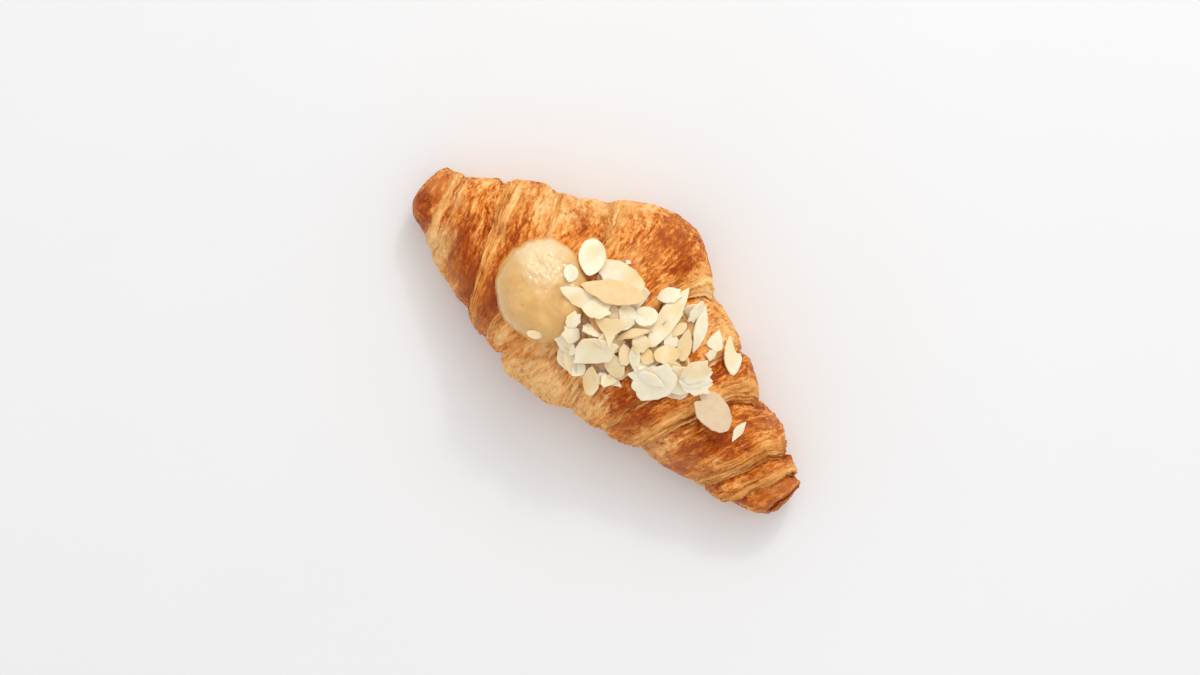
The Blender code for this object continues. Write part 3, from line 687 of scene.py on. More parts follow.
def make_turn(turn):
    small = turn in (0, 1, LAST_TURN - 1, LAST_TURN)
    angle = ring_angles(COLUMN_STEP * (1.5 if small else 1.0))
    rows, left, right, width = turn_rings(turn, angle)
    caps = np.array([rows[0][0].mean(0), rows[-1][0].mean(0)])
    if left == "tip":              # a tip's last ring is a point
        rows = rows[1:]
    if right == "tip":
        rows = rows[:-1]
    rings = [row[0] for row in rows]
    mesh = mesh_from_rings("turn_" + TURN_NAMES[turn], rings, caps)
    points = np.concatenate((*rings, caps))
    across, out = (np.concatenate([row[k] for row in rows] + [(rows[0][k][0], rows[-1][k][0])])
                   for k in (1, 2))
    show, shade = (np.concatenate([row[k] for row in rows] + [(0, 0)]) for k in (3, 4))
    stride = np.linalg.norm(np.diff(rings[len(rings) // 2], axis=0), axis=1)
    around = np.concatenate(((0,), np.cumsum(stride)))
    angles = np.concatenate((np.tile(angle, len(rings)), (math.pi / 2, math.pi / 2)))
    around = np.concatenate((np.tile(around, len(rings)), (0, 0)))
    from_lip = (1 - out) * width / (2 if turn == CENTRE_TURN else 1)

    edge = edges_of_lips(turn, across, width)
    reach, gold = np.array(((0.01, 0.0), *LAYERED))[edge].T
    reach = reach * (1 + LAYERED_STRAY * ripple(around / LAYERED_SPAN, edge * 4.1, 2.0))
    lip = np.where(edge > 0, 1 - ease(*LAYERED_FADE, from_lip / reach), 0)
    on_tail = tail(points[:, 0], angles) * (turn == CENTRE_TURN)
    # the tail's upper edge: its top half is drawn as golden bare layers that are partly a painted
    # highlight, and its foot is darkened with painted shade
    upper_edge = 4 * on_tail * (1 - on_tail) * (np.degrees(angles) < TAIL_ANGLES[2])
    unbaked = spots(points, UNBAKED) + on_tail + UNDER_PALE * ease(-0.25, -0.8, np.sin(angles))
    # the turn's value also holds painted shade on the right turns
    bake = TURN_BAKE_AND_SHADE[turn] + spots(points, SCORCHED) - 0.5 * unbaked
    lay = np.stack((across, around, np.full_like(across, LAY_APART * turn)), -1)
    write_attribute(mesh, "lay", lay, "FLOAT_VECTOR")
    for name, values in {
        "from_lip": from_lip, "lip": np.maximum(lip, upper_edge * (on_tail > 0.5)),
        "gold": np.maximum(gold, upper_edge), "show": show,
        "amber": np.minimum(spots(points, AMBER), 1), "bake": np.maximum(bake, 0),
        "unbaked": np.minimum(unbaked, 1), "washed": np.minimum(spots(points, WASH_AND_SHEEN), 1),
        "shade": shade + TAIL_SHADE * upper_edge * (on_tail < 0.5),
    }.items():
        write_attribute(mesh, name, values)
    return add_object(mesh.name, mesh)


turns = [make_turn(turn) for turn in range(LAST_TURN + 1)]
print("rows and columns give", sum(triangles(t) for t in turns), "triangles in", len(turns), "turns")

# %% [markdown]
# ## Layers, blisters and crackle
# Between its folds the dough is dozens of thin layers. Where a turn ends, their edges show as fine
# ridges that run along the lip, and where the crust has browned, the top layer has blistered and
# cracked. A geometry tree raises all of that on each turn, with the layers' pitch and heights as
# named inputs, so that every turn follows the same rule with a seed of its own. It also stores
# what it raised, for the colours to follow.

# %% The tree that raises the layers
layers_tree, w, given = new_geometry_tree("pastry_layers", {
    "Layer pitch": 2.3, "Layer height": 0.7, "Ridge height": 0.5, "Fold height": 0.6,
    "Blister size": 2.6, "Blister height": 0.42, "Peel depth": 0.3, "Crackle height": 0.3,
    "Pit depth": 0.4,
})
lay = w.vector("ADD", w.stored("lay", "FLOAT_VECTOR"), w.xyz(Z=given["Seed"]))
lip, show = w.stored("lip"), w.stored("show")
crest = 1.0 - lip

# the layers' edges, as steps that run along the lip and drift out over it
along = w.vector("MULTIPLY", lay, (1.0, 0.04, 1.0))
drift = swing(w.noise(along, 0.16, 1.0), 9.0)
fold = w.math("FRACT", (w.stored("from_lip") + drift) / given["Layer pitch"])
terrace = (fold ** 0.6 - 0.6) * (lip * 0.95 + 0.05) * given["Layer height"]
# fine ridges, and long folds where the dough was stretched round the roll
ridge = (w.noise(along, 1.25, 3.0, 0.65, 0.3) - 0.5) * (lip * 0.9 + 0.3) * given["Ridge height"] * 2.0
slack = w.vector("MULTIPLY", lay, (1.0, 0.16, 1.0))
folds = w.math("ABSOLUTE", w.noise(slack, 0.26, 2.0, 0.5, 0.6) - 0.5)
folds = (w.ramp(folds, 0.0, 0.16) - 1.0) * given["Fold height"]
folds = folds * w.ramp(w.noise(lay, 0.09, 1.0), 0.4, 0.62)
# the browned top layer: blisters, places where it has peeled away, pits and a crackled skin
squashed = w.vector("MULTIPLY", lay, (1.0, 0.4, 1.0))
bubbly = w.vector("ADD", squashed, w.xyz(X=w.noise(squashed, 0.5, 2.0) * 3.0))
dome = w.ramp(w.cells(bubbly, 1.0 / given["Blister size"]), 0.62, 0.05)
blister = dome * w.ramp(w.noise(bubbly, 0.14, 2.0), 0.46, 0.62) * (crest * 0.9 + 0.1)
peeled = w.ramp(w.noise(squashed, 0.62, 4.0, 0.66, 0.8), 0.545, 0.575)
peeled = peeled * w.ramp(w.noise(squashed, 0.12, 2.0), 0.36, 0.6) * crest
pits = w.ramp(w.noise(squashed, 1.05, 3.0, 0.6, 0.4), 0.42, 0.36)
pits = pits * w.ramp(w.noise(lay, 0.11, 1.0), 0.4, 0.6) * crest
rough = w.noise(bubbly, 0.95, 5.0, 0.7, 0.3)
crackle = (rough - 0.5) * (crest * 0.8 + 0.25) * given["Crackle height"] * 2.0
raised = (terrace + ridge + folds + blister * given["Blister height"] + crackle
          - peeled * given["Peel depth"] - pits * given["Pit depth"])
offset = w.scaled(w.value("GeometryNodeInputNormal"), raised * show * MM)
moved = w.value("GeometryNodeSetPosition", {"Geometry": given["Geometry"], "Offset": offset})
for name, value in {"sunken": terrace + ridge + folds * 0.4, "layer": fold, "peeled": peeled,
                    "pits": pits, "rough": rough}.items():
    moved = w.store(moved, name, value)
finish_tree(w, moved, given["Material"])
print("tree nodes:", len(layers_tree.nodes))

# %% [markdown]
# ## The colour of the crust
# Egg wash and heat brown what stands highest: the crests are dark and glossy, with pale flecks
# where the top layer has blistered off, and the lips stay yellow and dry, with their layers drawn
# as fine lines. Two shader groups, streaks and mottling, are shared with the other finishes.

# %% Shader groups
def new_shader_group(name, sizes, outputs):
    """A group with a vector and named sizes going in, and masks coming out."""
    group = bpy.data.node_groups.new(name, "ShaderNodeTree")
    sockets = group.interface
    sockets.new_socket("Vector", in_out="INPUT", socket_type="NodeSocketVector")
    add_sizes(sockets, sizes)
    for output in outputs:
        sockets.new_socket(output, in_out="OUTPUT", socket_type="NodeSocketFloat")
    wiring = Wiring(group)
    return group, wiring, wiring.outputs(wiring.node("NodeGroupInput"))


streaks, w, given = new_shader_group("streaks", {"Pitch": 1.0, "Length": 8.0}, ("Fine", "Broad"))
squeeze = w.xyz(X=1.0 / given["Pitch"], Y=1.0 / (given["Pitch"] * given["Length"]), Z=1.0)
stretched = w.vector("MULTIPLY", given["Vector"], squeeze)
w.node("NodeGroupOutput", {"Fine": w.noise(stretched, 1.0, 5.0, 0.68, 0.4),
                           "Broad": w.noise(stretched, 0.3, 2.0, 0.5, 0.4)})

mottle, w, given = new_shader_group("mottle", {"Size": 1.0, "Low": 0.45, "High": 0.6},
                                    ("Mask", "Grain"))
scale = 1.0 / given["Size"]
blots = w.noise(given["Vector"], scale, 4.0, 0.62, 0.6)
w.node("NodeGroupOutput", {"Mask": w.ramp(blots, given["Low"], given["High"]),
                           "Grain": w.noise(given["Vector"], scale * 3.1, 3.0, 0.6)})
print("groups:", streaks.name, mottle.name)

# %% A finish
def new_material(name, **constants):
    """A material, the wiring of its tree, and its shader's sockets with the constants set."""
    material = bpy.data.materials.new(name)
    material.use_nodes = True
    surface = material.node_tree.nodes["Principled BSDF"].inputs
    for socket, value in constants.items():
        surface[socket.replace("_", " ")].default_value = value
    return material, Wiring(material.node_tree), surface


print("finishes can be made")

# %% Rows of colours, from the darkest to the palest
def colour_row(*stops):
    """Each stop is a place from 0 to 1 and a screen colour."""
    return [(place, srgb(*colour)) for place, *colour in stops]


BAKED = colour_row((0.0, 156, 60, 0), (0.2, 178, 80, 2), (0.42, 208, 113, 34), (0.62, 238, 152, 72),
                   (0.8, 253, 180, 98), (1.0, 255, 206, 140))
AMBERS = colour_row((0.0, 134, 44, 0), (0.4, 170, 68, 0), (0.7, 198, 92, 0), (1.0, 226, 130, 30))
DRY = colour_row((0.0, 140, 76, 30), (0.3, 192, 126, 66), (0.6, 231, 172, 106),
                 (0.8, 250, 198, 132), (1.0, 255, 220, 166))
TAN_LAYERS = colour_row((0.0, 112, 48, 8), (0.25, 162, 88, 34), (0.5, 200, 132, 70),
                        (0.75, 228, 164, 98), (1.0, 252, 208, 150))
GOLD_LAYERS = colour_row((0.0, 140, 62, 10), (0.25, 196, 108, 40), (0.5, 238, 158, 78),
                         (0.75, 255, 186, 98), (1.0, 255, 218, 150))
# the dried wash's satin brown, partly a painted sheen
SATIN_AND_SHEEN_BROWN = srgb(188, 108, 58)
# painted shade in the pits
PIT_SHADE_BROWN = srgb(136, 58, 12)
# painted shade in the seams and in the hollows of the relief
SEAM_SHADE_BROWN = srgb(112, 48, 12)
print("colours of the baked skin:", len(BAKED))

# %% The crust's material
def make_crust_material():
    material, w, surface = new_material("baked_crust", Specular_IOR_Level=0.06, Coat_Roughness=0.2)
    lay = w.stored("lay", "FLOAT_VECTOR")
    lip, gold, bake, unbaked, amber = map(w.stored, ("lip", "gold", "bake", "unbaked", "amber"))
    sunken, layer, peeled, pits, rough = map(w.stored, ("sunken", "layer", "peeled", "pits", "rough"))
    hairs = w.group(streaks, Vector=lay, Pitch=0.5, Length=30.0)
    layers = w.group(streaks, Vector=lay, Pitch=1.1, Length=22.0)
    fibres = w.group(streaks, Vector=lay, Pitch=0.8, Length=3.6)
    bands = w.group(streaks, Vector=lay, Pitch=1.9, Length=4.6)
    patches = w.group(mottle, Vector=lay, Size=11.0, Low=0.36, High=0.64)

    # the baked skin: one row of colours, moved along by the heat and by every fibre and blister
    washed = w.stored("washed") * w.ramp(bands["Fine"], 0.6, 0.42, 0.4, 1.0)
    busy = w.ramp(patches["Grain"], 0.38, 0.62, 0.7, 1.3) * w.ramp(bake, 0.0, 0.3, 0.7, 1.0)
    busy = busy * (1.0 - washed * 0.6)
    fleck = busy * (swing(fibres["Fine"], 1.9) + swing(rough, 1.2) + swing(peeled, 0.24)
                    + swing(bands["Fine"], 1.9) + swing(bands["Broad"], 1.1))
    browned = (bake + swing(patches["Mask"], 0.3)) * (1.0 - lip * 0.7)
    baked = 0.94 + browned * -0.7 + fleck
    # the dried wash is mixed towards a satin brown that is partly painted sheen
    colour = w.mix(washed * 0.62, w.palette(baked, BAKED), SATIN_AND_SHEEN_BROWN)
    thick = 0.3 + swing(bands["Broad"], 0.9) + swing(fibres["Fine"], 1.5) + swing(rough, 0.9)
    pooled = amber * w.ramp(bands["Fine"], 0.62, 0.44, 0.7, 1.0)
    colour = w.mix(pooled, colour, w.palette(thick, AMBERS))
    pale = unbaked * w.ramp(bands["Fine"], 0.36, 0.56, 0.6, 1.0)
    colour = w.mix(pale, colour, w.palette(0.78 + bake * -0.3 + fleck * 0.55, DRY))
    # the pits are darkened with painted shade
    colour = w.mix(pits * busy * 0.4, colour, PIT_SHADE_BROWN)

    # the lips, where the layers' edges lie bare
    # the foot of each layer's step is darker, a painted shade
    edges = (0.76 + bake * -0.36 + swing(layers["Fine"], 2.0) + swing(hairs["Fine"], 1.8)
             + swing(rough, 0.7) + w.ramp(layer, 0.16, 0.03) * -0.4)
    golden = gold * w.ramp(bands["Broad"], 0.34, 0.6, 0.45, 1.0)
    rim = w.mix(golden, w.palette(edges, TAN_LAYERS), w.palette(edges, GOLD_LAYERS))
    colour = w.mix(lip * (0.94 - amber * 0.7), colour, rim)
    # the seams and the hollows of the relief are darkened: painted shade
    painted_shade = w.math("MAXIMUM", w.ramp(sunken, -0.2, -0.75) * 0.55, w.stored("shade"))
    colour = w.mix(w.math("MINIMUM", painted_shade, 0.85), colour, SEAM_SHADE_BROWN)
    w.join(colour, surface["Base Color"])

    # what has browned is glossy, the dried wash less so, and the lips are dry; the amber pools have
    # a thinner coat than the rest, so that their colour shows
    gloss = w.math("MAXIMUM", w.ramp(baked, 0.55, 0.15), washed * 0.7)
    gloss = w.math("MAXIMUM", amber, gloss) * (1.0 - lip * 0.9)
    w.join(w.ramp(gloss, 0.0, 1.0, 0.62, 0.4), surface["Roughness"])
    w.join(gloss * w.ramp(amber, 0.0, 1.0, 0.26, 0.1), surface["Coat Weight"])
    height = fibres["Fine"] * 0.9 + lip * layers["Fine"] * 0.6 + hairs["Fine"] * (lip * 0.6 + 0.2)
    w.join(w.bump(height, 0.5 * MM, 0.9), surface["Normal"])
    return material


crust_material = make_crust_material()
for number, turn in enumerate(turns):
    grow(turn, layers_tree, material=crust_material, seed=float(3 + 11 * number),
         layer_height=TURN_LAYERS[number])
print("crust:", sum(triangles(t) for t in turns), "triangles")

# %% [markdown]
# ## Heights to rest things on
# The cream and every flake lie on what is already there. A map of heights, half a millimetre to
# the square, is taken from the crust once. Each thing that is laid down raises the map below it,
# as snow does, so the next one rests on it.

# %% The map of heights
MAP_FROM, MAP_TO, MAP_CELL = np.array((-52.0, -34.0)), np.array((64.0, 34.0)), 0.5
SKY = 200.0                    # where the rays start


def surface_tree(obj):
    return BVHTree.FromObject(obj, bpy.context.evaluated_depsgraph_get())


def top_of(trees, x, y):
    """The highest surface at x and y, in mm, or -1 beside everything."""
    hits = (tree.ray_cast((x * MM, y * MM, SKY * MM), (0, 0, -1))[0] for tree in trees)
    return max((hit.z / MM for hit in hits if hit), default=-1.0)


map_x = np.arange(MAP_FROM[0], MAP_TO[0], MAP_CELL)
map_y = np.arange(MAP_FROM[1], MAP_TO[1], MAP_CELL)
crust_trees = [surface_tree(turn) for turn in turns[1:-1]]
heights = np.array([[top_of(crust_trees, x, y) for y in map_y] for x in map_x])


def height_at(x, y, heights=heights):
    """The map between its squares."""
    across = np.clip((x - MAP_FROM[0]) / MAP_CELL, 0, len(map_x) - 1.001)
    up = np.clip((y - MAP_FROM[1]) / MAP_CELL, 0, len(map_y) - 1.001)
    i, j = np.floor(across).astype(int), np.floor(up).astype(int)
    u, v = across - i, up - j
    return ((1 - u) * (1 - v) * heights[i, j] + u * (1 - v) * heights[i + 1, j]
            + (1 - u) * v * heights[i, j + 1] + u * v * heights[i + 1, j + 1])


def smoothed(heights, times):
    """The map without its small relief."""
    for _ in range(times):
        around = np.pad(heights, 1, mode="edge")
        heights = (around[:-2, 1:-1] + around[2:, 1:-1] + around[1:-1, :-2] + around[1:-1, 2:]
                   + heights) / 5
    return heights


EVEN_TIMES = 60
even_crust = smoothed(heights, EVEN_TIMES)
print("map", heights.shape, f"highest {heights.max():.1f} mm")

# %% [markdown]
# ## The almond cream
# The cream is one scoop, pushed off a spoon. It has settled into a soft dome, smooth and wet, with
# a torn, rough place where the spoon left it, a fold beside the almonds, and a few air bubbles. A
# ball of rings is pressed into that form, its rim following the crust, and then roughened.

# %% Shape the cream
CREAM_AT, CREAM_HALF, CREAM_TURN = (-28.6, -10.2), (17.8, 16.2), math.radians(-54.0)
# its top, its rim over the crust, how far it goes down into the crust, and how full its sides are
CREAM_TOP, CREAM_RIM, CREAM_KEEL, CREAM_SQUARE = 57.3, 1.8, 5.0, 0.86
CREAM_DOME = 0.78              # 1 would be a ball; less is flatter on top and steeper at the rim
CREAM_RINGS, CREAM_AROUND = ((120, 280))
CREAM_SWELL = ((2, 0.6, 0.02), (3, 0.0, 0.015))          # its outline: waves round it, turn, size
# the fold beside the almonds: its middle, direction, bow and half length, and across it a soft
# ridge and a trough: place, reach and height
FOLD_AT, FOLD_WAY, FOLD_BOW, FOLD_LONG = (-21.5, -14.0), (0.74, 0.67), 0.035, 8.5
FOLD_WAVES = ((-3.4, 3.0, 0.7), (1.6, 2.6, -1.8))
# soft lumps all over, and sharp ones where it is torn: spans in x and y, seed and height
SOFT_LUMPS = ((7.0, 7.0, 2.0, 0.9), (3.1, 3.1, 4.0, 0.3))
TORN_LUMPS = ((3.4, 2.8, 5.0, 1.5), (1.6, 1.6, 2.0, 0.75))
TORN_RIDGES, TORN_DIP = 0.25, 0.1
SPOON_MARK = (-34.5, -2.5, 9.5)          # where the spoon left it: x, y and reach
BUBBLES = ((-27.5, -9.5, 0.7), (-33.5, -15.0, 0.5), (-24.0, -15.0, 0.55), (-37.5, -8.0, 0.45),
           (-30.0, -18.5, 0.6), (-21.5, -7.5, 0.5), (-35.5, -12.0, 0.4), (-26.0, -19.5, 0.5))


def lumps(x, y, sizes):
    return sum(rise * ripple(x / span_x, y / span_y, seed) for span_x, span_y, seed, rise in sizes)


def make_cream():
    polar = np.linspace(0, np.pi, CREAM_RINGS + 1)[1:-1]
    bearing = np.linspace(0, 2 * np.pi, CREAM_AROUND, endpoint=False)
    polar, bearing = np.meshgrid(polar, bearing, indexing="ij")
    flat, up = np.sin(polar), np.cos(polar)
    along, aside = flat * np.cos(bearing), flat * np.sin(bearing)
    swell = sum((size * np.sin(waves * bearing + turn) for waves, turn, size in CREAM_SWELL), 1)
    swell = swell + 0.03 * ripple(*circle(2, bearing), 0.3)
    swell = swell + 0.024 * ripple(*circle(6, bearing), 1.5 * up)
    spread = swell * flat**CREAM_SQUARE / flat
    c, s = math.cos(CREAM_TURN), math.sin(CREAM_TURN)
    reach_x, reach_y = along * CREAM_HALF[0] * spread, aside * CREAM_HALF[1] * spread
    x = CREAM_AT[0] + c * reach_x - s * reach_y
    y = CREAM_AT[1] + s * reach_x + c * reach_y
    rim = height_at(x, y, even_crust) + CREAM_RIM
    rise = np.where(up > 0, (CREAM_TOP - rim) * np.abs(up) ** CREAM_DOME, CREAM_KEEL * up)
    z = rim + rise
    fold_x = FOLD_WAY[0] * (x - FOLD_AT[0]) + FOLD_WAY[1] * (y - FOLD_AT[1])
    fold_y = -FOLD_WAY[1] * (x - FOLD_AT[0]) + FOLD_WAY[0] * (y - FOLD_AT[1])
    bow = fold_x - FOLD_BOW * fold_y**2
    held = np.exp(-((fold_y / FOLD_LONG) ** 4)) * np.maximum(up, 0)
    z = z + held * sum(rise * np.exp(-(((bow - place) / reach) ** 2))
                       for place, reach, rise in FOLD_WAVES)
    shown = ease(-0.3, 0.25, up)
    z = z + shown * lumps(x, y, SOFT_LUMPS)
    mark = np.hypot(x - SPOON_MARK[0], (y - SPOON_MARK[1]) * 1.25) / SPOON_MARK[2]
    torn = np.exp(-(mark**4)) * shown
    ridges = 1 - 2 * abs(ripple(x / 3.2 + 0.3 * y, y / 2.3, 9.0))
    z = z + torn * (TORN_RIDGES * ridges + lumps(x, y, TORN_LUMPS) - TORN_DIP)
    for bubble_x, bubble_y, size in BUBBLES:
        away = np.hypot(x - bubble_x, y - bubble_y) / size
        z = z + shown * size * (0.28 * np.exp(-((away - 1.1) ** 2) / 0.06) - 0.5 * np.exp(-(away**2)))
    rings = list(np.stack((x, y, z), -1))
    poles = (rings[0].mean(0), rings[-1].mean(0))
    mesh = mesh_from_rings("almond_cream_scoop", rings[::-1], np.array(poles[::-1]))
    write_attribute(mesh, "torn", np.concatenate((torn[::-1].ravel(), (0, 0))))
    mesh.shade_smooth()
    return add_object(mesh.name, mesh)


cream = make_cream()
print("cream:", triangles(cream), "triangles")

# %% The cream's material
def make_cream_material():
    material, w, surface = new_material(
        "almond_cream", Specular_IOR_Level=0.4, Subsurface_Weight=0.3, Coat_IOR=1.6,
        Subsurface_Radius=(1.0, 0.55, 0.25), Subsurface_Scale=2.4 * MM, Coat_Roughness=0.09)
    mm, torn = w.place_in_mm(), w.stored("torn")
    cloudy = w.group(mottle, Vector=mm, Size=11.0, Low=0.34, High=0.66)
    grainy = w.group(mottle, Vector=mm, Size=1.2, Low=0.56, High=0.7)
    colour = w.mix(cloudy["Mask"], srgb(218, 167, 93), srgb(232, 187, 114))
    colour = w.mix(grainy["Mask"] * 0.3, colour, srgb(242, 206, 148))
    # the torn place is also painted paler: a painted highlight, where the window's broad sheen falls
    colour = w.mix(torn * 0.8, colour, srgb(250, 224, 172))
    specks = w.ramp(w.cells(mm, 0.16), 0.075, 0.04) * w.ramp(w.noise(mm, 0.11, 1.0), 0.54, 0.56)
    w.join(w.mix(specks * 0.75, colour, srgb(150, 104, 52)), surface["Base Color"])
    w.join(w.ramp(grainy["Grain"], 0.3, 0.7, 0.22, 0.36), surface["Roughness"])
    wet = w.ramp(cloudy["Grain"], 0.4, 0.6, 0.3, 0.7) + torn
    w.join(w.math("MINIMUM", wet, 1.0), surface["Coat Weight"])
    w.join(w.bump(grainy["Grain"] * 0.5 + grainy["Mask"] * 0.4, 0.12 * MM, 0.6), surface["Normal"])
    return material


cream.data.materials.append(make_cream_material())
cream_tree = surface_tree(cream)
CREAM_LUMPS, CREAM_REACH = 0.35, 20      # slices lie on the tops of its lumps
for i, x in enumerate(map_x):
    for j, y in enumerate(map_y):
        if math.hypot(x - CREAM_AT[0], y - CREAM_AT[1]) < CREAM_REACH:
            heights[i, j] = max(heights[i, j], top_of([cream_tree], x, y) + CREAM_LUMPS)
print(f"cream reaches {heights.max():.1f} mm")

# %% [markdown]
# ## Flaked almonds
# A flaked almond is a slice less than a millimetre thick. Whole slices are ovals, drawn by a
# formula, with a pointed end and a short straight break. Broken ones are drawn by their corners.
# Each kind of slice is drawn once, as a unit mesh, and a geometry tree lays them all out: it puts
# the right kind at each point, turned, scaled and then bent a little, because dry slices are
# never flat.

# %% The kinds of slices
# whole slices are ovals: how pointed the front and the back are, a straight break (direction,
# share kept), and width over length
OVALS = {
    "whole": (1.25, 0.1, (165, 0.93), 0.5), "oval": (0.75, 0.1, (150, 0.86), 0.68),
    "round": (0.1, 0.0, (-60, 0.94), 0.9), "lens": (1.2, 1.1, (100, 0.85), 0.4),
}
# broken ones have corners: direction in degrees and reach, when half the length is 1
CORNERED = {
    "half": ((0, 1.0), (28, 0.78), (60, 0.56), (98, 0.5), (128, 0.52), (152, 0.4), (176, 0.5),
             (204, 0.42), (238, 0.56), (275, 0.5), (320, 0.66)),
    "chip": ((10, 1.0), (80, 0.66), (112, 0.5), (150, 0.9), (235, 0.72), (300, 0.58)),
    "shard": ((0, 1.0), (50, 0.5), (105, 0.42), (150, 0.56), (178, 1.0), (232, 0.3), (300, 0.3)),
    "fan": ((-44, 0.92), (-22, 0.98), (4, 0.96), (26, 1.0), (46, 0.88), (110, 0.4), (176, 0.7),
            (250, 0.36)),
    "broken": ((14, 0.92), (62, 0.78), (74, 0.92), (124, 0.8), (171, 0.78), (184, 0.98),
               (248, 0.7), (292, 0.9), (336, 0.82)),
    "torn": ((0, 1.0), (38, 0.76), (70, 0.56), (98, 0.66), (138, 0.64), (158, 0.9), (172, 0.66),
             (196, 0.84), (228, 0.58), (272, 0.62), (322, 0.74)),
    "star": ((0, 0.96), (38, 0.42), (88, 0.66), (108, 1.0), (134, 0.72), (176, 0.5), (216, 0.76),
             (236, 1.1), (258, 0.66), (316, 0.4)),
    "sail": ((-14, 0.8), (-4, 0.98), (12, 0.86), (52, 0.66), (104, 0.84), (142, 0.84), (178, 0.9),
             (187, 1.0), (238, 0.56), (298, 0.74)),
    "jagged": ((16, 0.94), (38, 0.86), (60, 0.96), (82, 0.66), (124, 0.68), (165, 1.03),
               (177, 0.74), (198, 0.86), (216, 0.76), (245, 0.9), (290, 0.74), (330, 0.8)),
    "bitten": ((0, 1.0), (27, 0.68), (60, 0.52), (93, 0.48), (130, 0.58), (163, 0.8), (187, 1.0),
               (224, 0.7), (250, 0.6), (281, 0.56), (300, 0.28), (324, 0.32)),
    "notched": ((14, 1.0), (42, 0.86), (83, 0.74), (127, 0.82), (158, 0.93), (180, 0.98),
                (196, 0.7), (212, 0.95), (232, 0.88), (262, 0.82), (301, 0.74), (330, 0.82),
                (350, 0.95)),
}
KINDS = sorted((*OVALS, *CORNERED))
EDGE_BOW = 0.035               # the sides between corners bulge a little
RIM_POINTS = 56
RIM_WAVES = ((2, 1.7, 0.06), (12, 2.9, 0.035))           # no rim is quite even: waves, seed, size
# the rings of a slice from the middle of its top over its rim: share of the radius, height
SLICE_RINGS = ((0.45, 0.5), (0.85, 0.5), (0.975, 0.5), (1.0, 0.36), (1.0, -0.36), (0.975, -0.5),
               (0.6, -0.5))
print("kinds:", ", ".join(KINDS))

# %% Draw each kind
def unit_radius(bearing, kind):
    """The outline of a slice whose half length is 1, as distances from its middle."""
    if kind in OVALS:
        front, back, (direction, share), wide = OVALS[kind]
        c, s = abs(np.cos(bearing)), abs(np.sin(bearing))
        power = 2 - 0.6 * np.where(np.cos(bearing) > 0, front, back) * ease(0.0, 0.9, c)
        radius = (c**power + (s / wide) ** power) ** (-1 / power)
        turned = math.radians(direction)
        facing = np.maximum(np.cos(bearing - turned), 0.05)
        reach = share * (abs(math.cos(turned)) + wide * abs(math.sin(turned)))
        return np.minimum(radius, reach / facing)
    directions, reaches = np.array(CORNERED[kind]).T
    start = math.radians(directions[0])
    corners = np.radians(np.append(directions, directions[0] + 360)) - start
    reaches = np.append(reaches, reaches[0])
    turned = (bearing - start) % (2 * np.pi)
    i = np.clip(np.searchsorted(corners, turned, side="right") - 1, 0, len(directions) - 1)
    before, after = turned - corners[i], corners[i + 1] - turned
    side = reaches[i] * reaches[i + 1] * np.sin(before + after)
    side = side / (reaches[i] * np.sin(before) + reaches[i + 1] * np.sin(after))
    return side * (1 + EDGE_BOW * np.sin(np.pi * before / (before + after)))


def half_width(kind):
    bearing = np.linspace(0, 2 * np.pi, 360)
    return float(np.max(unit_radius(bearing, kind) * abs(np.sin(bearing))))


HALF_WIDTHS = {kind: half_width(kind) for kind in KINDS}


def rim_radius(bearing, length, width, kind):
    """The same for a slice of that length and width."""
    ahead = np.cos(bearing) / (length / 2)
    aside = np.sin(bearing) / (width / 2 / HALF_WIDTHS[kind])
    return unit_radius(np.arctan2(aside, ahead), kind) / np.hypot(ahead, aside)


def make_kind(number, outline):
    """A unit slice: half its length is 1, its thickness is 1."""
    bearing = np.linspace(0, 2 * np.pi, RIM_POINTS, endpoint=False)
    for direction, _ in CORNERED.get(outline, ()):
        turned = math.radians(direction) % (2 * np.pi)
        bearing[round(turned / (2 * np.pi) * RIM_POINTS) % RIM_POINTS] = turned
    radius = unit_radius(bearing, outline)
    radius = radius * sum((size * ripple(*circle(waves, bearing), number * seed)
                           for waves, seed, size in RIM_WAVES), 1)
    rings = [np.stack((*circle(share * radius, bearing), np.full(RIM_POINTS, height)), -1)
             for share, height in SLICE_RINGS]
    caps = np.array(((0, 0, 0.5), (0, 0, -0.5)))
    mesh = mesh_from_rings(f"kind_{number:02d}_{outline}", [r / MM for r in rings], caps / MM)
    mesh.flip_normals()
    flat = np.concatenate((*rings, caps))
    rim = np.concatenate([np.full(RIM_POINTS, share) for share, _ in SLICE_RINGS] + [np.zeros(2)])
    write_attribute(mesh, "local", flat, "FLOAT_VECTOR")
    write_attribute(mesh, "rim", rim)
    return bpy.data.objects.new(mesh.name, mesh)


kinds = bpy.data.collections.new("kinds_of_slices")
bpy.context.scene.collection.children.link(kinds)
for number, outline in enumerate(KINDS):
    kinds.objects.link(make_kind(number, outline))

# %% [markdown]
# ## Laying the slices down
# A slice comes to rest on three points that hold up its middle. The rule tries all the triangles
# of touching points below the slice, and the highest one that contains the middle carries it.
# Slices are laid from the lowest to the highest, and each raises the map for those above it.

# %% The resting rule
SLICE = 0.75                   # thickness
STEEPEST = 0.6                 # a slice slides off anything steeper
SETTLE = 0.3                   # how far slices bed into each other
# slices of a loose heap that are shorter than this don't lie flat: how askew, how far propped up
ASKEW_BELOW, ASKEW, PROPPED = 12.6, 0.85, 0.12
TINT, TINT_SWING, BEND = 0.5, 1.1, 2.8   # slices differ in tint and in how far they bend
REST_POINTS, REST_RINGS = 18, (1.0, 0.7, 0.35)
THIN = 0.5                     # triangles thinner than this carry nothing
corner_sets = np.array(list(combinations(range(1 + REST_POINTS * len(REST_RINGS)), 3)))


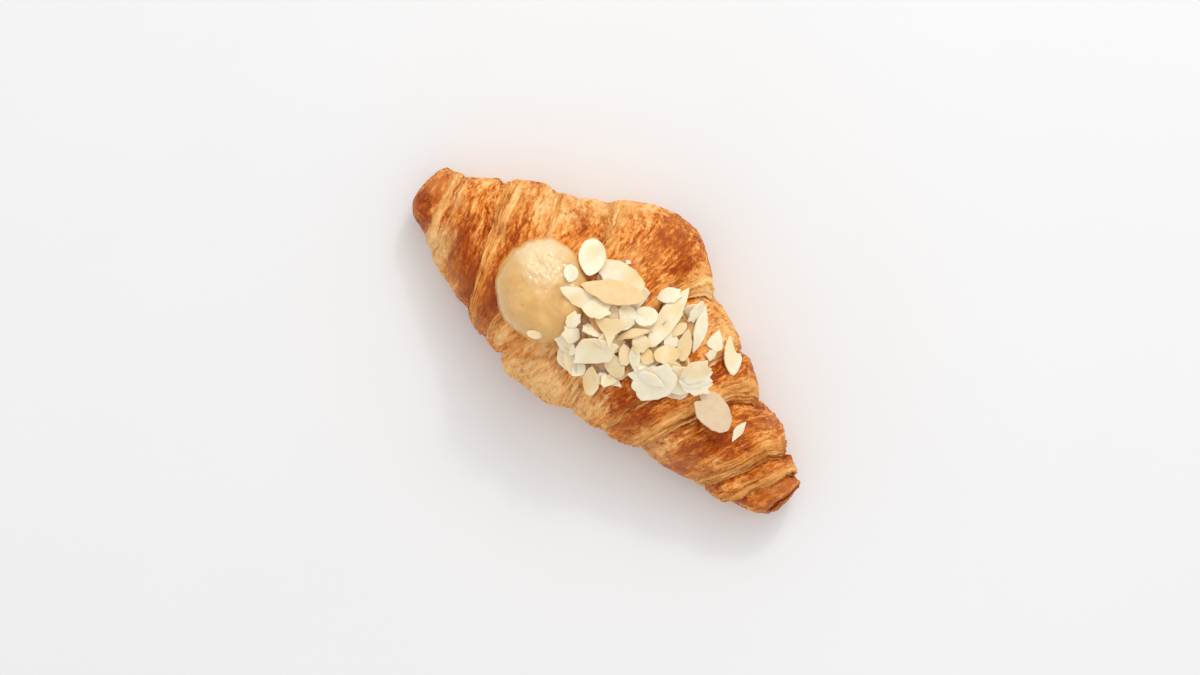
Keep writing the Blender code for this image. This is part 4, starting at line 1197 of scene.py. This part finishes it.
def rest_plane(x, y, length, width, heading, outline, clear_of_all):
    """Height of the middle and the slopes of the slice's underside."""
    bearing = np.linspace(0, 2 * np.pi, REST_POINTS, endpoint=False)
    radius = rim_radius(bearing, length, width, outline)
    turned = bearing + math.radians(heading)
    reach = np.concatenate([(0,)] + [share * radius for share in REST_RINGS])
    turned = np.concatenate([(0,)] + [turned for _ in REST_RINGS])
    px, py = x + reach * np.cos(turned), y + reach * np.sin(turned)
    points = np.stack((px, py, height_at(px, py)), -1)
    a, b, c = (points[corner_sets[:, k]] for k in range(3))
    ab, ac, out = b - a, c - a, np.array((x, y)) - a[:, :2]
    area = ab[:, 0] * ac[:, 1] - ac[:, 0] * ab[:, 1]
    area[np.abs(area) < THIN] = np.nan
    u = (out[:, 0] * ac[:, 1] - ac[:, 0] * out[:, 1]) / area
    v = (ab[:, 0] * out[:, 1] - out[:, 0] * ab[:, 1]) / area
    held = (u >= 0) & (v >= 0) & (u + v <= 1)
    height = np.where(held, a[:, 2] + u * ab[:, 2] + v * ac[:, 2], -np.inf)
    best = int(np.argmax(height))
    slope_x = (ab[best, 2] * ac[best, 1] - ac[best, 2] * ab[best, 1]) / area[best]
    slope_y = (ac[best, 2] * ab[best, 0] - ab[best, 2] * ac[best, 0]) / area[best]
    ease_off = min(1.0, STEEPEST / max(math.hypot(slope_x, slope_y), 1e-6))
    slope_x, slope_y = slope_x * ease_off, slope_y * ease_off
    level = points[:, 2] - slope_x * (px - x) - slope_y * (py - y)
    return (level.max() if clear_of_all else height[best]), slope_x, slope_y


def place_slice(x, y, length, width, heading, outline, height, slope_x, slope_y, tint=None):
    """Puts one slice down, raises the map, and returns what the tree needs to know about it."""
    normal = Vector((-slope_x, -slope_y, 1)).normalized()
    ahead = Vector((math.cos(math.radians(heading)), math.sin(math.radians(heading)), 0))
    ahead = (ahead - normal * ahead.dot(normal)).normalized()
    frame_of_slice = Matrix((ahead, normal.cross(ahead), normal)).transposed()
    i, j = np.meshgrid(np.arange(len(map_x)), np.arange(len(map_y)), indexing="ij")
    dx, dy = map_x[i] - x, map_y[j] - y
    away = np.hypot(dx, dy)
    bearing = np.arctan2(dy, dx) - math.radians(heading)
    under = away < length * 0.62   # no corner reaches farther
    under[under] = away[under] <= rim_radius(bearing[under], length, width, outline)
    top = height + slope_x * dx + slope_y * dy + (SLICE - SETTLE) / normal.z
    heights[under] = np.maximum(heights[under], top[under])
    middle = Vector((x, y, height)) + normal * SLICE / 2
    if tint is None:
        tint = TINT + TINT_SWING * noise.noise((x * 3.1, y * 3.1, 5.0))
    bend = BEND * noise.noise((x * 2.3, y * 2.3, 11.0))
    size = (length / 2 * MM, width / 2 / HALF_WIDTHS[outline] * MM, SLICE * MM)
    return {"middle": middle, "kind": KINDS.index(outline), "turned": frame_of_slice.to_euler(),
            "size": size, "lie": normal, "tint": tint, "bend": bend}


def lay_slice(x, y, length, width, heading, outline, tint=None, clear_of_all=False):
    """Lets one slice come to rest."""
    height, slope_x, slope_y = rest_plane(x, y, length, width, heading, outline, clear_of_all)
    if length < ASKEW_BELOW and not clear_of_all:
        askew_x, askew_y = (ASKEW * noise.noise((x * 1.7, y * 1.7, k)) for k in (21.0, 33.0))
        slope_x, slope_y = slope_x + askew_x, slope_y + askew_y
        height += PROPPED * length * math.hypot(askew_x, askew_y)
    return place_slice(x, y, length, width, heading, outline, height, slope_x, slope_y, tint)


# %% The tree that places them
slices_tree, w, given = new_geometry_tree("laid_slices", {"Wave height": 0.5, "Wave length": 6.5})
picked = w.value("GeometryNodeCollectionInfo", {"Collection": kinds, "Separate Children": True,
                                                "Reset Children": True})
placed = w.value("GeometryNodeInstanceOnPoints", {
    "Points": given["Geometry"], "Instance": picked, "Pick Instance": True,
    "Instance Index": w.stored("kind", "INT"), "Rotation": w.stored("turned", "FLOAT_VECTOR"),
    "Scale": w.stored("size", "FLOAT_VECTOR")})
real = w.value("GeometryNodeRealizeInstances", {"Geometry": placed})
ahead = w.value("ShaderNodeSeparateXYZ", {0: w.stored("local", "FLOAT_VECTOR")})
bow = (ahead * ahead - 0.3) * w.stored("bend")
place = w.vector("ADD", w.value("GeometryNodeInputPosition"), w.xyz(X=given["Seed"]))
wave = w.noise(place, (1 / MM) / given["Wave length"], 1.0) - 0.5
lift = (bow + wave * given["Wave height"] * 2.0) * MM
offset = w.scaled(w.stored("lie", "FLOAT_VECTOR"), lift)
bent = w.value("GeometryNodeSetPosition", {"Geometry": real, "Offset": offset})
finish_tree(w, bent, given["Material"])
CRISP_FROM = math.radians(28)            # edges sharper than this stay crisp


def grow_slices(name, laid, material, seed):
    """The slices in laid, as one mesh."""
    mesh = bpy.data.meshes.new(name)
    mesh.from_pydata([one["middle"] * MM for one in laid], [], [])
    for key in ("turned", "size", "lie"):
        write_attribute(mesh, key, [tuple(one[key]) for one in laid], "FLOAT_VECTOR")
    for key in ("tint", "bend"):
        write_attribute(mesh, key, [one[key] for one in laid])
    number = mesh.attributes.new("kind", "INT", "POINT")
    number.data.foreach_set("value", [one["kind"] for one in laid])
    obj = add_object(name, mesh)
    grow(obj, slices_tree, material=material, seed=seed)
    obj.data.set_sharp_from_angle(angle=CRISP_FROM)
    return obj


print("tree nodes:", len(slices_tree.nodes))

# %% The almond's material
def make_almond_material():
    material, w, surface = new_material(
        "blanched_almond", Specular_IOR_Level=0.35, Subsurface_Weight=0.35,
        Subsurface_Radius=(1.0, 0.7, 0.4), Subsurface_Scale=1.6 * MM)
    local, rim, tint = w.stored("local", "FLOAT_VECTOR"), w.stored("rim"), w.stored("tint")
    mm = w.place_in_mm()
    cloudy = w.group(mottle, Vector=mm, Size=3.0, Low=0.38, High=0.62)
    grain = w.group(streaks, Vector=w.vector("MULTIPLY", local, (8.0, 8.0, 8.0)), Pitch=0.9,
                    Length=0.12)
    # a tint of -1 is a golden brown, painted shade deep in the heap, 0 the palest, 1 yellow, and 2 a
    # dull grey beige, painted shade where a thin slice lies on the dark crust
    drift = swing(w.noise(mm, 0.1, 1.0), w.ramp(tint, 1.6, 1.0)) * 1.8
    colour = w.mix(w.ramp(tint + drift, 0.0, 1.2), srgb(254, 240, 212), srgb(236, 200, 136))
    core = w.ramp(rim, 1.0, 0.4) * w.ramp(w.noise(mm, 0.2, 1.0), 0.4, 0.6)
    for share, tone in (
        (w.ramp(tint, 0.0, -1.0), (204, 142, 74)), (w.ramp(tint, 1.0, 2.0), (214, 190, 160)),
        (core * 0.2, (236, 204, 146)), (cloudy["Mask"] * 0.25, (240, 220, 180)),
        (w.ramp(rim, 0.9, 0.99) * 0.15, (236, 204, 146)),
        (w.ramp(grain["Fine"], 0.52, 0.7) * 0.18, (228, 200, 150)),
    ):
        colour = w.mix(share, colour, srgb(*tone))
    w.join(colour, surface["Base Color"])
    w.join(w.ramp(cloudy["Grain"], 0.3, 0.7, 0.42, 0.56), surface["Roughness"])
    w.join(w.bump(grain["Fine"] * 0.5 + cloudy["Grain"] * 0.3, 0.08 * MM, 0.5), surface["Normal"])
    return material


almond_material = make_almond_material()
print("almond finish ready")

# %% [markdown]
# ## The heap
# The heap is loose. Below the slices that show lie some seventy more, scattered over the middle
# of the crust in low mounds, each a little tilted, and the slices that show come to rest on them.
# The slices that lie by themselves on the crust are laid before the mounds and touch only the
# crust. Those on the cream are laid last.

# %% Where the slices lie
# the mounds below: middle, half length and width, turn, height and how many slices
BED = (((2.5, -8.8), (15.5, 10.8), 20, 3.4, 34), ((-7.0, -5.5), (8.0, 8.0), 20, 4.6, 18),
       ((-9.0, 6.5), (8.0, 4.5), 20, 2.0, 7), ((22.5, -4.0), (5.0, 4.5), 40, 1.4, 5),
       ((16.5, 9.5), (10.0, 4.0), 110, 1.6, 7))
BURIED_KINDS = ("torn", "half", "broken", "whole", "jagged", "fan", "torn", "lens")
BURIED_LENGTH, BURIED_WIDTH = (8.0, 15.0), (0.45, 0.75)  # the width is a share of the length
BURIED_STEP, BURIED_TILT = 0.6, 0.3
# buried slices are golden brown deep in a mound, a painted shade, and pale at its foot
BURIED_SHADE_TINT = (-1.0, 0.2)      # golden in the depth of a mound, pale at its foot
# lowest first: x, y, length, width, heading of the pointed end, outline and, for many, a tint
HEAP = (
    (-14.0, -11.0, 7.0, 5.6, -80, "torn"), (-10.5, -19.0, 10.0, 6.0, 0, "torn"),
    (-7.8, -23.4, 8.4, 4.0, 150, "lens"), (-5.6, -22.4, 10.4, 4.0, 145, "whole"),
    (-1.5, -23.0, 6.5, 5.0, 70, "broken"), (6.2, -20.2, 6.6, 5.4, 40, "torn"),
    (9.2, -18.4, 7.0, 4.8, 220, "fan"), (6.4, -13.4, 11.0, 6.6, 150, "whole"),
    (12.7, -7.7, 6.8, 5.2, 40, "torn"), (14.0, -4.8, 9.0, 4.6, 140, "half"),
    (16.5, 4.6, 8.6, 5.4, 140, "half"), (15.8, 9.6, 7.2, 4.0, 80, "torn", 0.9),
    (14.2, 17.3, 8.5, 3.8, 80, "half"), (16.2, 18.0, 9.5, 5.2, 115, "torn", 0.1),
    (4.5, 2.5, 12.0, 8.0, 210, "torn"), (-4.0, -3.0, 13.0, 8.6, 120, "broken"),
    (0.5, -9.0, 13.0, 8.0, 30, "broken"), (4.2, -22.6, 11.2, 6.4, 111, "whole", 1.0),
    (-2.2, 1.9, 10.0, 6.5, 30, "half"), (21.0, 14.6, 17.5, 5.0, 120, "lens", 0.2),
    (20.6, 7.2, 11.5, 5.0, 120, "whole", 0.9), (8.0, -9.5, 10.8, 5.2, 145, "half"),
    (10.2, -7.2, 11.0, 4.2, 140, "lens"), (18.4, 0.8, 11.0, 6.8, 52, "whole", 0.9),
    (21.5, -3.3, 10.2, 6.2, 60, "half"), (26.6, -3.6, 16.0, 11.8, 50, "torn", 0.2),
    (20.5, -9.4, 18.4, 15.6, 36, "jagged", 0.1), (19.5, -9.0, 9.6, 4.6, 12, "whole", 0.0),
    (32.4, -0.4, 13.5, 8.6, 200, "torn", 0.3), (30.9, 1.4, 13.4, 8.4, 222, "torn", 0.1),
    (29.2, 2.8, 12.6, 8.4, 246, "torn", 0.5), (9.4, -2.9, 9.4, 7.0, 160, "half"),
    (4.9, -1.8, 12.0, 4.0, 62, "lens", 0.9), (-11.5, -15.4, 8.0, 6.6, 20, "torn", 0.3),
    (-7.4, -10.2, 10.8, 4.2, 5, "half"), (-1.0, -14.4, 17.0, 12.6, 65, "sail", 0.4),
    (10.5, 11.0, 26.0, 7.4, 101, "whole", 0.4), (5.9, 16.9, 9.6, 6.0, 235, "torn", 0.1),
    (-0.6, -0.9, 10.6, 5.2, 25, "half", 0.1), (-2.0, -5.2, 13.2, 13.4, -48, "star", 0.6),
    (-12.4, 10.4, 22.5, 9.8, 181, "whole", 0.5), (-17.4, -4.0, 16.0, 6.4, 200, "whole", 0.4),
    (-9.8, -2.8, 11.0, 8.4, 220, "torn", 0.3), (-9.9, 4.6, 22.0, 9.4, 208, "whole", 1.3),
    (4.3, 5.7, 8.3, 8.0, 40, "round", 0.0),
)
# slices that lie by themselves: the solid each stands for, then the same values
LONE_ON_CRUST = (
    ("almond_round_lone", 43.1, -4.0, 16.6, 13.2, -12, "notched", 1.9),
    ("almond_shard_lone", 54.7, -3.3, 8.6, 4.0, 97, "shard", 0.2),
    ("almond_bitten", 35.6, 14.9, 14.2, 7.6, 128, "bitten", 0.3),
    ("almond_fan", 27.4, 16.0, 8.6, 7.0, -70, "fan", 0.2),
    ("almond_chip", 29.8, 10.4, 5.4, 4.0, 60, "chip", 0.2),
)
LONE_ON_CREAM = (
    ("almond_on_cream_edge", -22.9, 9.2, 15.0, 9.4, -65, "oval", 0.3),
    ("almond_chip_on_cream", -24.8, 0.2, 6.2, 5.6, -60, "oval", 0.3),
)
# two crumbs, laid and kept with the heap
CRUMBS = ((-12.3, 15.8, 2.6, 1.7, 30, "chip", 0.1), (-20.6, -23.2, 6.0, 2.9, 20, "oval", 0.5))
print(len(HEAP), "slices on", len(BED), "mounds")

# %% Lay the heap
chance = np.random.default_rng(27)
alone = [(node, lay_slice(*values, clear_of_all=True)) for node, *values in LONE_ON_CRUST]
laid = []
for (x, y), (half_x, half_y), turned, mound, count in BED:
    c, s = math.cos(math.radians(turned)), math.sin(math.radians(turned))
    for _ in range(count):
        reach, bearing = math.sqrt(chance.random()), chance.random() * 2 * math.pi
        px, py = half_x * reach * math.cos(bearing), half_y * reach * math.sin(bearing)
        px, py = x + c * px - s * py, y + s * px + c * py
        level = float(height_at(px, py, even_crust)) + mound * (1 - reach**2) * chance.random()
        length = chance.uniform(*BURIED_LENGTH)
        laid.append(place_slice(
            px, py, length, length * chance.uniform(*BURIED_WIDTH), chance.uniform(0, 360),
            BURIED_KINDS[chance.integers(len(BURIED_KINDS))], level + BURIED_STEP,
            *chance.uniform(-BURIED_TILT, BURIED_TILT, 2),
            tint=np.interp(reach, (0.6, 1), BURIED_SHADE_TINT)))
laid += [lay_slice(*values) for values in (*HEAP, *CRUMBS)]
heap = grow_slices("heap_of_flaked_almonds", laid, almond_material, 1.0)
alone += [(node, lay_slice(*values, clear_of_all=True)) for node, *values in LONE_ON_CREAM]
lone = {node: grow_slices(node + "_slice", [one], almond_material, 2.0) for node, one in alone}
for kind in list(kinds.objects):
    bpy.data.objects.remove(kind)
bpy.data.collections.remove(kinds)
print("slices:", len(laid) + len(lone), "heap triangles:", triangles(heap))

# %% [markdown]
# ## The floor
# A plain pale table. It is stage, not part of the croissant.

# %% Floor
FLOOR_REACH = 3.0
floor_mesh = bpy.data.meshes.new("floor")
corners = [(x * FLOOR_REACH, y * FLOOR_REACH, 0.0) for x, y in ((-1, -1), (1, -1), (1, 1), (-1, 1))]
floor_mesh.from_pydata(corners, [], [(0, 1, 2, 3)])
floor = add_object("floor", floor_mesh)
floor_material, w, surface = new_material("pale_floor", Roughness=0.55)
tone = w.noise(w.value("ShaderNodeTexCoord", output="Object"), 9.0, 3.0)
w.join(w.mix(tone, srgb(231, 231, 230), srgb(235, 235, 234)), surface["Base Color"])
floor.data.materials.append(floor_material)
print(f"floor: {2 * FLOOR_REACH:.0f} m across")

# %% [markdown]
# ## What the pieces stand for
# Every piece rides on the root, because nothing moves. It gets a finish slot and takes the place
# of the solid that it dresses.

# %% Riding and replacing
for turn in turns:
    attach(turn, "root")
    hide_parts("croissant")
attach(cream, "root")
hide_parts("almond_cream")
for node, piece in {"almond_heap": heap, **lone}.items():
    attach(piece, "root")
    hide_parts(node)
print("pieces:", len(turns) + len(lone) + 2)
